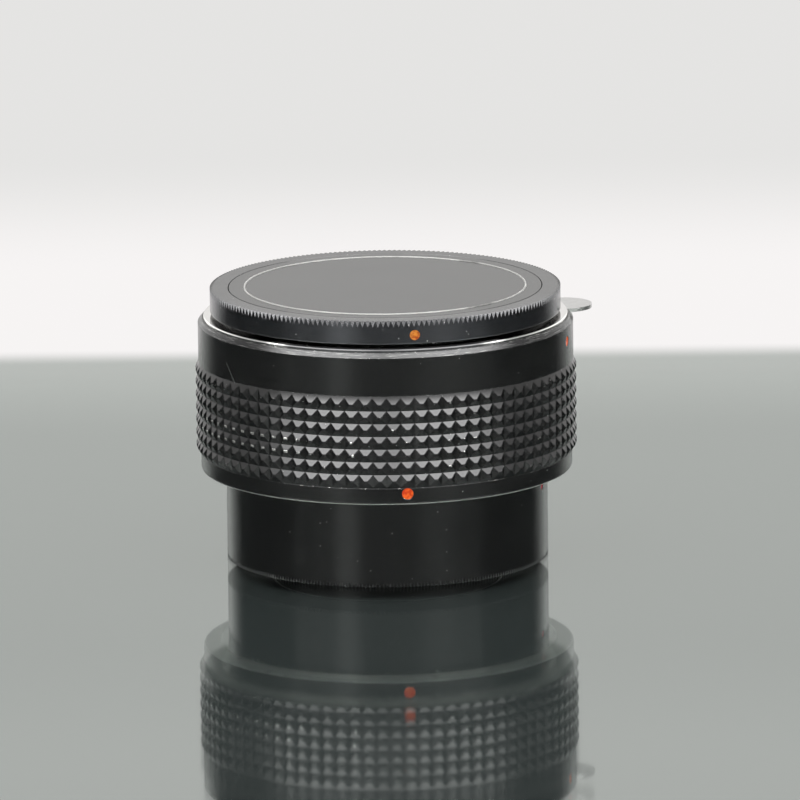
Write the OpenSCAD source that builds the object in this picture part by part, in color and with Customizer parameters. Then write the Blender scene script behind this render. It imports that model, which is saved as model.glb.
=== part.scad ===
// Camera teleconverter: a barrel with a diamond grip, a female three-lug bayonet in front, a male one
// behind, four lens elements in a cell, two coupling rings round it, a lens release and a cap at each end.
// Millimetres. Z is the optical axis and points to the lens. The origin is the middle of the rear cap's
// underside, on which the part stands. Angles run counter-clockwise from above, from the viewer's side.

/* [Bayonets] */
// Bore of the male spigots, from which every other diameter is built up
spigot_bore_d = 41.6; // [41.2:0.1:42.4]
// Wall of the male spigots
spigot_wall = 1.8; // [1.7:0.05:1.9]
// How far the male lugs stand out of their spigot
male_lug_reach = 1.4; // [1.2:0.05:1.5]
// Radial clearance between the male and the female side
bayonet_clear = 0.3; // [0.2:0.05:0.35]
// Thickness of the female lugs
female_lug_t = 1.5; // [1.3:0.05:1.6]
// Thickness of the male lugs
male_lug_t = 1.3; // [1.1:0.05:1.35]
// Length of the rear spigot below its flange
rear_spigot_l = 5.0; // [4.6:0.1:5.6]
// Angle that a lug of the mounts covers
lug_span = 52; // [46:1:54]
// Angle that a lug of the caps covers
cap_lug_span = 40; // [34:1:44]
// Where the first lug of the mounts stands
lug_angle = 30; // [20:1:40]

/* [Mount plates] */
// Width of the front mount's plate round its gaps
front_plate_w = 5.1; // [4.9:0.05:5.4]
// Thickness of the front mount inside the barrel
front_plate_t = 2.0; // [1.9:0.05:2.3]
// How far the front flange's lip covers the barrel
flange_lip_w = 2.25; // [2:0.05:2.4]
// Thickness of the front flange's lip
flange_lip_t = 0.5; // [0.4:0.05:0.6]
// Bevel round the lip's edge
flange_bevel = 0.18; // [0.05:0.01:0.3]
// Width of the rear mount's plate round its spigot
rear_plate_w = 6.7; // [6.5:0.05:6.8]
// Thickness of the rear mount's plate
rear_plate_t = 2.0; // [1.8:0.05:2.3]
// How far the rear mount stands out of the barrel
rear_proud = 0.47; // [0.3:0.05:0.8]
// Screws in each mount
mount_screws = 5; // [3:1:6]
// Diameter of the mount screws
mount_screw_d = 2.0; // [1.6:0.1:2.2]
// Diameter of the mount screws' heads
mount_head_d = 3.6; // [3:0.1:3.8]
// Length of the mount screws
mount_screw_l = 4.4; // [3.8:0.1:4.6]
// Distance from the front ledge's bore to the middle of the mount screws
mount_screw_in = 1.5; // [1.4:0.05:1.6]
// Thickness of the leaf spring behind the front lugs
lug_spring_t = 0.3; // [0.2:0.05:0.4]

/* [Barrel] */
// Distance between the two flange faces
flange_gap = 27.6; // [27.2:0.1:32]
// Wall of the barrel under the grip
barrel_wall = 1.2; // [1.1:0.05:1.3]
// Width of the chamfer at the top of the barrel
top_chamfer_w = 0.75; // [0.5:0.05:1.2]
// Height of the chamfer at the top of the barrel
top_chamfer_h = 0.82; // [0.4:0.05:1.2]
// How much smaller the lower band's radius is than the upper band's
lower_band_set = 0.33; // [0.1:0.01:0.6]
// Height of the lower band
lower_band_h = 2.93; // [2.6:0.1:3.4]
// Radius of the barrel's bottom corner
bottom_round = 0.5; // [0.2:0.05:0.7]
// Thickness of the ledge that carries the front mount
front_ledge_t = 4.2; // [3.9:0.1:4.8]
// Width of the gap between the bayonet's gaps and the front ledge, for the leaf spring
spring_room = 1.5; // [1.4:0.05:1.6]
// Thickness of the ledge that carries the rear mount
rear_ledge_t = 3.0; // [2.8:0.1:3.2]
// Width of the ledge that carries the rear mount
rear_ledge_w = 3.8; // [3.6:0.05:4.2]
// Thickness of the web that carries the inner frame
web_t = 1.5; // [1:0.1:2]

/* [Grip] */
// Height of the grip ring
grip_h = 16.25; // [15.6:0.1:17]
// Depth of the seat of the grip in the barrel
grip_seat = 1.0; // [0.8:0.05:1.1]
// How far the tips of the pyramids stand out of the upper band
grip_proud = 0.5; // [0.3:0.05:0.8]
// Depth of the valleys between the pyramids
grip_depth = 0.4; // [0.3:0.05:0.8]
// Pyramids round the grip
grip_columns = 85; // [60:1:100]
// Rows of pyramids
grip_rows = 7; // [5:1:8]
// Height of the flare from the lower band to the lowest row
grip_foot_h = 0.25; // [0.1:0.05:0.6]
// Height of the flare from the upper band to the top row
grip_shoulder_h = 0.35; // [0.2:0.05:0.6]

/* [Release] */
// Angle of the release tab
tab_angle = 105; // [104:1:108]
// Width of the release tab
tab_w = 9.6; // [8:0.1:10]
// How far the release tab stands out of the barrel
tab_out = 4.5; // [3.5:0.1:5.5]
// Thickness of the release lever
lever_t = 0.65; // [0.5:0.05:0.7]
// Travel of the release lever in degrees
lever_travel = 8; // [6:0.5:8]
// Angle of the lock pin
pin_angle = 130; // [129:1:131]
// Distance from the front ledge's bore to the middle of the lock pin
pin_in = 1.4; // [1.3:0.05:1.5]
// Diameter of the lock pin
pin_d = 2.0; // [1.7:0.05:2.1]
// How far the lock pin stands out of the flange
pin_out = 1.2; // [0.9:0.05:1.3]
// Travel of the lock pin
pin_travel = 1.5; // [1.3:0.05:1.5]

/* [Lens cell] */
// How far the inner frame's underside lies below the front flange
frame_drop = 18.7; // [18.4:0.1:18.9]
// Gap between the cell's foot and the coupling levers that pass it
cell_gap = 0.8; // [0.6:0.05:1]
// Width of the ledge on the cell that bears on the inner frame
cell_ledge_w = 1.0; // [0.8:0.05:1.2]
// Wall of the cell round the front element
cell_wall = 2.0; // [1.8:0.05:2.2]
// Length of the cell above the frame's underside
cell_front_l = 12.8; // [12.6:0.1:13]
// Length of the cell below the frame
cell_rear_l = 11.8; // [11.6:0.1:12]
// Width of the seats on which the elements rest
seat_w = 1.2; // [1:0.05:1.3]
// Thickness of the front element at its edge
front_element_t = 3.6; // [3.4:0.1:3.8]
// Thickness of the second element at its edge
second_element_t = 2.4; // [2.2:0.1:2.8]
// Thickness of the third element at its edge
third_element_t = 3.5; // [3.2:0.1:3.8]
// Thickness of the rear element at its edge
rear_element_t = 3.2; // [3:0.1:3.4]
// Radius of the front element's outer surface
front_curve_r = 60; // [56:1:90]
// Radius of the inner surfaces of the elements
inner_curve_r = 48; // [44:1:80]
// Width of the mask's opening behind the lenses
mask_w = 22.0; // [18:0.5:24]
// Height of the mask's opening behind the lenses
mask_h = 15.0; // [12:0.5:18]
// Thickness of the mask
mask_t = 1.0; // [0.8:0.1:1.1]

/* [Couplings] */
// Thickness of the inner frame
frame_t = 2.0; // [1.8:0.1:2.2]
// Thickness of each coupling ring
coupling_t = 1.9; // [1.7:0.05:2]
// How far the coupling rings reach out past their levers
coupling_rim = 0.8; // [0.7:0.05:0.9]
// Clearance of the coupling levers in the spigot's bore
lever_clear = 0.6; // [0.5:0.05:0.7]
// Thickness of the coupling levers, across the axis
lever_w = 1.4; // [1.2:0.05:1.5]
// Thickness of the lever parts that pass outside a ring
bypass_w = 1.0; // [0.8:0.05:1.1]
// Gap between a ring and the lever parts that pass outside it
bypass_gap = 0.3; // [0.25:0.05:0.35]
// Travel of the diaphragm coupling in degrees
diaphragm_travel = 25; // [20:1:25]
// Travel of the aperture coupling in degrees
aperture_travel = 60; // [50:1:60]
// Length of the rear levers below the rear flange
rear_lever_l = 7.5; // [6.5:0.1:8]
// Length of the front levers above the cell
front_lever_l = 1.7; // [1:0.1:1.9]

/* [Front cap] */
// How much smaller the front cap's radius is than the flange's
front_cap_set = 1.21; // [0.6:0.05:1.5]
// Height of the front cap above its seat
front_cap_h = 4.7; // [4.5:0.1:5.5]
// Gap between the front cap's skirt and the flange
front_cap_gap = 0.6; // [0.4:0.05:0.8]
// Wall of the front cap's skirt
front_cap_wall = 1.74; // [1.4:0.05:2]
// Depth of the front cap's spigot
front_cap_spigot_l = 3.8; // [3.6:0.05:3.9]
// Width of the rim round the disc in the front cap
front_rim_w = 3.2; // [2.8:0.05:3.6]
// Depth of the recess for the disc
front_disc_recess = 2.1; // [1.9:0.1:2.2]
// Distance from the disc's edge to the middle of the bright ring
bright_ring_in = 2.84; // [1.5:0.05:6]
// Width of the bright ring
bright_ring_w = 0.4; // [0.3:0.05:0.6]
// How far the front cap's bright ring stands out of the disc
bright_ring_proud = 0.15; // [0.05:0.01:0.3]

/* [Rear cap] */
// Height of the rear cap
rear_cap_h = 15.1; // [14.6:0.1:18]
// Gap between the male lugs and the wall of the rear cap
rear_cap_gap = 1.95; // [1.5:0.05:2.4]
// Wall of the rear cap
rear_cap_wall = 2.0; // [1.7:0.1:2.4]
// Floor of the rear cap
rear_cap_floor = 2.0; // [1.8:0.1:2.4]
// Width of the rear cap's underside round its disc
rear_rim_w = 4.95; // [4.6:0.05:6]
// Bevel round the caps' outer edges
cap_bevel = 0.3; // [0.1:0.05:0.4]

/* [Index dots] */
// Angle of the barrel's front dot
front_dot_angle = 74.5; // [60:0.5:85]
// Angle of the barrel's rear dot
rear_dot_angle = 6.25; // [-10:0.25:20]
// Angle of the front cap's dot
front_cap_dot_angle = 9.5; // [-10:0.5:20]
// Angle of the rear cap's dot
rear_cap_dot_angle = 74; // [60:0.5:85]
// Diameter of the front dot and of the front cap's dot
front_dot_d = 1.8; // [1.2:0.1:2]
// Diameter of the rear dot
rear_dot_d = 2.0; // [1.4:0.1:2.2]
// Diameter of the rear cap's dot
rear_cap_dot_d = 1.4; // [1:0.1:1.8]
// Depth of the paint-filled dimples
dot_depth = 0.4; // [0.3:0.05:0.45]

/* [Fits] */
// Radial clearance of a running fit
run_fit = 0.05; // [0.03:0.01:0.08]
// Clearance of a screw in its hole
screw_fit = 0.05; // [0.03:0.01:0.08]
// Clearance beside a moving piece
side_gap = 0.2; // [0.15:0.01:0.24]
// Clearance above and below a moving piece
end_gap = 0.1; // [0.07:0.01:0.12]

/* [Hidden] */
$fn = 180;
front_side = -90;
cut = 1;

// The line between the front flange and the barrel's chamfer
seam_w = 0.2;
seam_depth = 0.2;

// Diameters, built up outwards from the spigot's bore
spigot_d = spigot_bore_d + 2 * spigot_wall;
male_lug_d = spigot_d + 2 * male_lug_reach;
female_lug_d = spigot_d + 2 * bayonet_clear;
female_gap_d = male_lug_d + 2 * bayonet_clear;
front_ledge_d = female_gap_d + 2 * spring_room;
front_plate_d = female_gap_d + 2 * front_plate_w;
rear_plate_d = spigot_d + 2 * rear_plate_w;
rear_ledge_d = rear_plate_d - 2 * rear_ledge_w;
flange_d = front_plate_d + 2 * flange_lip_w;
barrel_d = flange_d + 2 * (seam_w + top_chamfer_w);
lower_band_d = barrel_d - 2 * lower_band_set;
core_d = barrel_d - 2 * grip_seat;
barrel_bore_d = core_d - 2 * barrel_wall;
grip_tip_d = barrel_d + 2 * grip_proud;
grip_valley_d = grip_tip_d - 2 * grip_depth;
front_cap_d = flange_d - 2 * front_cap_set;
front_disc_d = front_cap_d - 2 * front_rim_w;
bright_ring_d = front_disc_d - 2 * bright_ring_in;
rear_cap_d = male_lug_d + 2 * (rear_cap_gap + rear_cap_wall);
rear_disc_d = rear_cap_d - 2 * rear_rim_w;
mount_screw_circle_r = front_ledge_d / 2 + mount_screw_in;
pin_circle_r = front_ledge_d / 2 + pin_in;
tab_reach = barrel_d / 2 + tab_out;

// Radii and diameters of the couplings and the cell, worked inwards from the spigot's bore
lever_out_r = spigot_bore_d / 2 - lever_clear;
lever_in_r = lever_out_r - lever_w;
cell_foot_d = 2 * (lever_in_r - cell_gap);
cell_d = cell_foot_d - 2 * cell_ledge_w;
front_element_d = cell_d - 2 * cell_wall;
second_element_d = front_element_d - 2 * seat_w;
third_element_d = second_element_d - 2 * seat_w;
rear_element_d = third_element_d - seat_w;

// Radii of what lies round the coupling rings
coil_d = 1.6;
coil_gap = 0.5;
frame_margin = 1.2;
frame_head_d = 2.8;
coupling_d = 2 * (lever_out_r + coupling_rim);
bypass_in_r = coupling_d / 2 + bypass_gap;
bypass_out_r = bypass_in_r + bypass_w;
coil_arc_r = bypass_out_r + coil_gap + coil_d / 2;
ear_r = coil_arc_r + coil_d / 2;
frame_d = 2 * (ear_r + frame_margin);
web_d = frame_d - 2 * frame_head_d;

// Heights of the two flange faces and of what is stacked between them
rear_z = rear_cap_h;
front_z = rear_z + flange_gap;
barrel_bottom_z = rear_z + rear_proud;
barrel_top_z = front_z - flange_lip_t;
grip_z = barrel_bottom_z + lower_band_h;
grip_top_z = grip_z + grip_h;
front_seat_z = front_z - front_plate_t;
front_ledge_z = front_seat_z - front_ledge_t;
rear_seat_z = rear_z + rear_plate_t;
rear_ledge_top_z = rear_seat_z + rear_ledge_t;

// The inner frame hangs below the front flange, so that the cell keeps its place behind the lens
frame_z = front_z - frame_drop;
frame_top_z = frame_z + frame_t;
web_z = frame_z - web_t;
cell_top_z = frame_z + cell_front_l;
cell_bottom_z = frame_z - cell_rear_l;
web_screw_circle_r = (web_d + frame_d) / 4;

// Recesses of the barrel for the two plates
front_recess_r = front_plate_d / 2 + run_fit;
rear_recess_r = rear_plate_d / 2 + run_fit;

// Mount screws and their cross slots
mount_screw_first = 18;
slot_share = 0.62;

// Index dots: places, and how far the paint stays below the surface
front_dot_below_top = 3.2;
front_dot_z = barrel_top_z - front_dot_below_top;
rear_dot_above_bottom = 1.95;
rear_dot_z = barrel_bottom_z + rear_dot_above_bottom;
paint_below = 0.12;

// Release: a curved strip in a channel below the flange's lip, with a finger over the lock pin's peg
channel_cover = 0.65;
channel_out_r = flange_d / 2 - channel_cover;
channel_z = barrel_top_z - lever_t - end_gap;
strip_in_r = front_recess_r + side_gap;
strip_out_r = channel_out_r - side_gap;
lever_z = channel_z + end_gap / 2;
strip_lead_angle = 10;
strip_tail_angle = 4;
spring_angle = 18;
stop_gap_angle = 0.3;
channel_lead_angle = 1;
spring_folds = 9;
spring_t = 0.2;
peg_d = 0.8;
peg_top_z = lever_z - end_gap;
pocket_in_r = pin_circle_r + pin_d / 4;
ramp_in_r = pin_circle_r + pin_d / 2 + side_gap;
ramp_out_r = front_plate_d / 2 - side_gap;
ramp_mid_r = (ramp_in_r + ramp_out_r) / 2;
ramp_run = ramp_mid_r * lever_travel * PI / 180;
ramp_land = 0.9;
ramp_end = 1.2;
pocket_depth = pin_travel + peg_d;
pin_below = 1.4;
pin_bore_fit = 0.3;
pin_floor = 0.5;

// Widest place that the release tab takes at the barrel's wall, in degrees to one side of its middle
tab_half_angle = asin((tab_w / 2 + side_gap) / channel_out_r);

// Where the channel of the strip and the pocket of the finger begin and end, as angles
channel_start = tab_angle - strip_lead_angle - channel_lead_angle;
channel_end = pin_angle + strip_tail_angle + spring_angle + stop_gap_angle;
pocket_start = pin_angle - (ramp_land + ramp_run + ramp_end + 2 * side_gap) / ramp_mid_r * 180 / PI;
pocket_end = pin_angle + (ramp_land + ramp_run + 2 * side_gap) / ramp_mid_r * 180 / PI;

// Leaf springs behind the female lugs
leaf_gap = 0.25;
leaf_inset = 0.1;
leaf_span_share = 0.6;
leaf_ring_t = 0.4;
leaf_ring_in_r = female_gap_d / 2 + side_gap;
leaf_ring_out_r = front_ledge_d / 2 - side_gap;

// Lens cell: shoulders that the elements rest on, from the front to the rear
seat_fit = 0.05;
thread_extra_r = 0.6;
retaining_t = 1.8;
retaining_sunk = 0.4;
spacer_w = 0.75;
front_spacer_l = 1.6;
rear_spacer_l = 3.0;
front_element_z = cell_top_z - retaining_sunk - retaining_t - front_element_t;
second_element_z = front_element_z - front_spacer_l - second_element_t;
third_element_z = second_element_z - rear_spacer_l - third_element_t;
lip_t = 2.0;
rear_element_top_z = third_element_z - lip_t;
rear_element_z = rear_element_top_z - rear_element_t;
clip_t = 0.6;
clip_depth = 0.5;
clip_out = 1.4;
clip_open_angle = 60;

// Coupling rings run on the cell, one above the other
diaphragm_z = frame_top_z + end_gap;
aperture_z = diaphragm_z + coupling_t + 2 * end_gap;
clip_z = aperture_z + coupling_t + 2 * end_gap;
coupling_bore_r = cell_d / 2 + run_fit;
lever_tip_z = rear_z - rear_lever_l;
front_lever_z = cell_top_z + front_lever_l;
lever_span = 7;
slot_extra_angle = 1.5;
slot_gap = 0.3;
foot_t = 1.4;
foot_above = 1.9;
diaphragm_post_angle = 110;
diaphragm_front_angle = 190;
diaphragm_rear_angle = 240;
aperture_rear_angle = 280;
aperture_front_angle = 305;
aperture_post_angle = 348;
post_to_ear_angle = 25;
ear_span = 5;
post_d = 1.4;
frame_screw_angle = 55;
frame_screws_n = 3;
frame_screw_d = 1.6;
frame_head_h = 0.9;
frame_screw_l = 1.2;

// Coil springs
wire_d = 0.3;
coil_turns = 10;
pin_coil_d = 1.7;
pin_coil_turns = 2;
rings_per_turn = 8;
wire_sides = 6;

// Front cap
front_cap_top_z = front_z + front_cap_h;
front_cap_web = 1.0;
front_cap_seat_r = front_ledge_d / 2 - side_gap / 2;
front_disc_z = front_cap_top_z - front_disc_recess;
front_cap_lug_top_z = front_z - female_lug_t - end_gap - run_fit;
ring_depth = 0.3;
disc_gap = 0.02;
front_cap_dot_above = 2.2;
front_cap_dot_z = front_z + front_cap_dot_above;

// Rear cap
rear_disc_lip = 1.0;
rear_lug_top_z = rear_z - female_lug_t - end_gap;
rear_cap_lug_z = rear_lug_top_z + end_gap + run_fit;
rear_ring_share = 0.9;
rear_cap_dot_below = 1.9;
rear_cap_dot_z = rear_cap_h - rear_cap_dot_below;

// Puts its children at an angle round the axis, where zero faces the viewer
module turned(a) rotate([0, 0, a + front_side]) children();

// Ring or arc of a rectangular section, round the optical axis
module arc_block(r_in, r_out, z_low, z_high, mid = 0, span = 360) {
  turned(mid - span / 2)
    rotate_extrude(angle = span)
      translate([r_in, z_low])
        square([r_out - r_in, z_high - z_low]);
}

// The same arc three times, as on a bayonet
module three_arcs(r_in, r_out, z_low, z_high, first, span) {
  for (i = [0:2])
    arc_block(r_in, r_out, z_low, z_high, first + i * 120, span);
}

// Straight round piece along the axis, away from it by r
module post(d, r, a, z_low, z_high) {
  turned(a)
    translate([r, 0, z_low])
      cylinder(d = d, h = z_high - z_low, $fn = 48);
}

// Round dimple or its paint, sunk into a cylinder's side
module side_dot(d, r, a, z, low, high) {
  turned(a)
    translate([r + low, 0, z])
      rotate([0, 90, 0])
        cylinder(d = d, h = high - low, $fn = 48);
}

// Quarter circle from a flat underside up to an outer wall, as outline points
function lower_corner(r, z, round_r, steps = 8) =
  [for (i = [0:steps]) [
    r - round_r + round_r * sin(90 * i / steps),
    z + round_r - round_r * cos(90 * i / steps)]];

function on_circle(r, a, z) = [r * cos(a + front_side), r * sin(a + front_side), z];

function unit(v) = v / norm(v);

module outer_barrel_profile() {
  polygon(concat(
    [[rear_recess_r, barrel_bottom_z]],
    lower_corner(lower_band_d / 2, barrel_bottom_z, bottom_round),
    [[lower_band_d / 2, grip_z],
     [core_d / 2, grip_z],
     [core_d / 2, grip_top_z],
     [barrel_d / 2, grip_top_z],
     [barrel_d / 2, barrel_top_z - top_chamfer_h],
     [barrel_d / 2 - top_chamfer_w, barrel_top_z],
     [barrel_d / 2 - top_chamfer_w - seam_w / 2, barrel_top_z - seam_depth],
     [barrel_d / 2 - top_chamfer_w - seam_w, barrel_top_z],
     [front_recess_r, barrel_top_z],
     [front_recess_r, front_seat_z],
     [front_ledge_d / 2, front_seat_z],
     [front_ledge_d / 2, front_ledge_z],
     [barrel_bore_d / 2, front_ledge_z],
     [barrel_bore_d / 2, frame_z],
     [web_d / 2, frame_z],
     [web_d / 2, web_z],
     [barrel_bore_d / 2, web_z],
     [barrel_bore_d / 2, rear_ledge_top_z],
     [rear_ledge_d / 2, rear_ledge_top_z],
     [rear_ledge_d / 2, rear_seat_z],
     [rear_recess_r, rear_seat_z]]));
}

module outer_barrel() {
  color([0.13, 0.13, 0.13])
    difference() {
      rotate_extrude() outer_barrel_profile();
      arc_block(front_recess_r - cut, channel_out_r, channel_z, barrel_top_z + cut,
        (channel_start + channel_end) / 2, channel_end - channel_start);
      arc_block(channel_out_r - side_gap, barrel_d / 2 + cut, channel_z, barrel_top_z + cut,
        tab_angle + lever_travel / 2, 2 * tab_half_angle + lever_travel);
      arc_block(pocket_in_r, ramp_out_r + side_gap / 2, front_seat_z - pocket_depth,
        front_seat_z + cut, (pocket_start + pocket_end) / 2, pocket_end - pocket_start);
      post(pin_d + 2 * pin_bore_fit, pin_circle_r, pin_angle, front_ledge_z + pin_floor,
        front_seat_z + cut);
      for (i = [0:mount_screws - 1]) {
        post(mount_screw_d + 2 * screw_fit, mount_screw_circle_r, mount_screw_angle(i),
          front_z - mount_screw_l - screw_fit, front_seat_z + cut);
        post(mount_screw_d + 2 * screw_fit, mount_screw_circle_r, mount_screw_angle(i),
          rear_seat_z - cut, rear_z + mount_screw_l + screw_fit);
      }
      for (i = [0:frame_screws_n - 1])
        post(frame_screw_d + 2 * screw_fit, web_screw_circle_r,
          frame_screw_angle + i * 360 / frame_screws_n, web_z - cut, frame_z + cut);
      side_dot(front_dot_d, barrel_d / 2, front_dot_angle, front_dot_z, -dot_depth, cut);
      side_dot(rear_dot_d, lower_band_d / 2, rear_dot_angle, rear_dot_z, -dot_depth, cut);
    }
}

function mount_screw_angle(i) = mount_screw_first + i * 360 / mount_screws;

module front_index_dot() {
  color([0.86, 0.32, 0.12])
    side_dot(front_dot_d - 2 * disc_gap, barrel_d / 2, front_dot_angle, front_dot_z,
      -dot_depth, -paint_below);
}

module rear_index_dot() {
  color([0.86, 0.32, 0.12])
    side_dot(rear_dot_d - 2 * disc_gap, lower_band_d / 2, rear_dot_angle, rear_dot_z,
      -dot_depth, -paint_below);
}

// One level of the grip: a point for each column, turned by part of a column
function grip_level(r, z, part = 0) =
  [for (j = [0:grip_columns - 1]) on_circle(r, (j + part) * 360 / grip_columns, z)];

// Two triangles for each column between two levels, seen from outside with the first level below
function band_faces(low, high) = [for (j = [0:grip_columns - 1])
  let (k = (j + 1) % grip_columns)
    each [[low + j, high + j, high + k], [low + j, high + k, low + k]]];

// Four triangles for each pyramid between two levels of corners
function pyramid_faces(low, high, tip) = [for (j = [0:grip_columns - 1])
  let (k = (j + 1) % grip_columns)
    each [[low + j, high + j, tip + j], [high + j, high + k, tip + j],
      [high + k, low + k, tip + j], [low + k, low + j, tip + j]]];

module grip_ring() {
  row_h = (grip_h - grip_foot_h - grip_shoulder_h) / grip_rows;
  base_z = grip_z + grip_foot_h;
  inner_r = core_d / 2 + seat_fit;
  lowest_r = (grip_valley_d + lower_band_d) / 4;
  n = grip_columns;
  corners = [for (i = [0:grip_rows])
    each grip_level(i == 0 ? lowest_r : grip_valley_d / 2, base_z + i * row_h)];
  tips = [for (i = [0:grip_rows - 1]) each grip_level(grip_tip_d / 2, base_z + (i + 0.5) * row_h, 0.5)];
  points = concat(
    grip_level(inner_r, grip_z),
    grip_level(lower_band_d / 2, grip_z),
    corners,
    grip_level(barrel_d / 2, grip_top_z),
    grip_level(inner_r, grip_top_z),
    tips);
  top_level = (grip_rows + 3) * n;
  first_tip = top_level + 2 * n;
  faces = concat(
    band_faces(0, n),
    band_faces(n, 2 * n),
    [for (i = [0:grip_rows - 1]) each pyramid_faces((i + 2) * n, (i + 3) * n, first_tip + i * n)],
    band_faces(top_level - n, top_level),
    band_faces(top_level, top_level + n),
    band_faces(top_level + n, 0));
  color([0.16, 0.16, 0.16])
    polyhedron(points, faces);
}

module mount_screw_set(z_face, up) {
  head_h = (mount_head_d - mount_screw_d) / 2;
  slot_w = 0.45;
  slot_depth = 0.5;
  slot_l = mount_head_d * slot_share;
  for (i = [0:mount_screws - 1])
    turned(mount_screw_angle(i))
      translate([mount_screw_circle_r, 0, z_face])
        mirror([0, 0, up])
          difference() {
            union() {
              cylinder(d1 = mount_head_d, d2 = mount_screw_d, h = head_h, $fn = 48);
              cylinder(d = mount_screw_d, h = mount_screw_l, $fn = 48);
            }
            for (turn = [0, 90])
              rotate([0, 0, turn])
                translate([-slot_l / 2, -slot_w / 2, -cut])
                  cube([slot_l, slot_w, cut + slot_depth]);
          }
}

// Hole with a countersink for a mount screw, opening at the face
module mount_screw_hole(z_face, up, plate_t) {
  head_h = (mount_head_d - mount_screw_d) / 2;
  for (i = [0:mount_screws - 1])
    turned(mount_screw_angle(i))
      translate([mount_screw_circle_r, 0, z_face])
        mirror([0, 0, up]) {
          cylinder(d1 = mount_head_d + 2 * screw_fit, d2 = mount_screw_d + 2 * screw_fit,
            h = head_h, $fn = 48);
          translate([0, 0, -cut])
            cylinder(d = mount_screw_d + 2 * screw_fit, h = plate_t + 2 * cut, $fn = 48);
        }
}

module front_mount() {
  color([0.78, 0.78, 0.77])
    difference() {
      union() {
        arc_block(female_gap_d / 2, front_plate_d / 2, front_seat_z, front_z);
        rotate_extrude()
          polygon([
            [front_plate_d / 2 - cut, barrel_top_z],
            [flange_d / 2, barrel_top_z],
            [flange_d / 2, front_z - flange_bevel],
            [flange_d / 2 - flange_bevel, front_z],
            [front_plate_d / 2 - cut, front_z]]);
        three_arcs(female_lug_d / 2, female_gap_d / 2 + cut, front_z - female_lug_t, front_z,
          lug_angle, lug_span);
      }
      mount_screw_hole(front_z, 1, front_plate_t);
      post(pin_d + 2 * run_fit, pin_circle_r, pin_angle, front_seat_z - cut, front_z + cut);
      arc_block(pocket_in_r, front_plate_d / 2 + cut, front_seat_z - cut,
        barrel_top_z, (pocket_start + pocket_end) / 2, pocket_end - pocket_start);
    }
}

module front_mount_screws() {
  color([0.72, 0.72, 0.7])
    mount_screw_set(front_z, 1);
}

module lug_spring() {
  leaf_z = front_cap_lug_top_z - male_lug_t - leaf_gap - lug_spring_t;
  leg_in_r = leaf_ring_in_r + leaf_inset;
  leg_out_r = leg_in_r + lug_spring_t;
  leg_top_z = front_seat_z - leaf_ring_t / 2;
  color([0.76, 0.68, 0.45])
    union() {
      arc_block(leaf_ring_in_r, leaf_ring_out_r, front_seat_z - leaf_ring_t, front_seat_z);
      for (i = [0:2])
        turned(lug_angle + i * 120 - lug_span * leaf_span_share / 2)
          rotate_extrude(angle = lug_span * leaf_span_share)
            polygon([
              [female_lug_d / 2 + side_gap, leaf_z],
              [leg_out_r, leaf_z],
              [leg_out_r, leg_top_z],
              [leg_in_r, leg_top_z],
              [leg_in_r, leaf_z + lug_spring_t],
              [female_lug_d / 2 + side_gap, leaf_z + lug_spring_t]]);
    }
}

module inner_frame() {
  color([0.2, 0.2, 0.21])
    difference() {
      union() {
        arc_block(cell_d / 2 + seat_fit, frame_d / 2, frame_z, frame_top_z);
        post(post_d, coil_arc_r, diaphragm_post_angle, frame_z, diaphragm_z + coupling_t);
        post(post_d, coil_arc_r, aperture_post_angle, frame_z, aperture_z + coupling_t);
      }
      arc_block(lever_in_r - slot_gap, lever_out_r + slot_gap, frame_z - cut, frame_top_z + cut,
        diaphragm_rear_angle + diaphragm_travel / 2, diaphragm_travel + lever_span + 2 * slot_extra_angle);
      arc_block(lever_in_r - slot_gap, bypass_out_r + slot_gap, frame_z - cut, frame_top_z + cut,
        aperture_rear_angle + aperture_travel / 2, aperture_travel + lever_span + 2 * slot_extra_angle);
      for (i = [0:frame_screws_n - 1])
        post(frame_screw_d + 2 * screw_fit, web_screw_circle_r,
          frame_screw_angle + i * 360 / frame_screws_n, frame_z - cut, frame_top_z + cut);
    }
}

module frame_screws() {
  slot_w = 0.4;
  slot_depth = 0.4;
  color([0.72, 0.72, 0.7])
    for (i = [0:frame_screws_n - 1])
      turned(frame_screw_angle + i * 360 / frame_screws_n)
        translate([web_screw_circle_r, 0, 0])
          difference() {
            union() {
              translate([0, 0, frame_z - frame_screw_l])
                cylinder(d = frame_screw_d, h = frame_t + frame_screw_l, $fn = 48);
              translate([0, 0, frame_top_z])
                cylinder(d = frame_head_d, h = frame_head_h, $fn = 48);
            }
            translate([-frame_head_d, -slot_w / 2, frame_top_z + frame_head_h - slot_depth])
              cube([2 * frame_head_d, slot_w, slot_depth + cut]);
          }
}

module lens_cell() {
  outer_r = cell_d / 2;
  foot_r = cell_foot_d / 2;
  front_r = front_element_d / 2;
  second_r = second_element_d / 2;
  third_r = third_element_d / 2;
  rear_r = rear_element_d / 2;
  front_edge_z = front_element_z + front_element_t;
  color([0.1, 0.1, 0.1])
    rotate_extrude()
      polygon([
        [foot_r, cell_bottom_z],
        [foot_r, frame_z],
        [outer_r, frame_z],
        [outer_r, clip_z],
        [outer_r - clip_depth, clip_z],
        [outer_r - clip_depth, clip_z + clip_t],
        [outer_r, clip_z + clip_t],
        [outer_r, cell_top_z],
        [front_r + thread_extra_r, cell_top_z],
        [front_r + thread_extra_r, front_edge_z],
        [front_r, front_edge_z],
        [front_r, front_element_z],
        [second_r, front_element_z],
        [second_r, second_element_z],
        [third_r, second_element_z],
        [third_r, third_element_z],
        [third_r - seat_w, third_element_z],
        [third_r - seat_w, rear_element_top_z],
        [rear_r, rear_element_top_z],
        [rear_r, cell_bottom_z]]);
}

// Depth of a sphere's cap over a circle
function sag(curve_r, r) = curve_r - sqrt(curve_r * curve_r - r * r);

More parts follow.
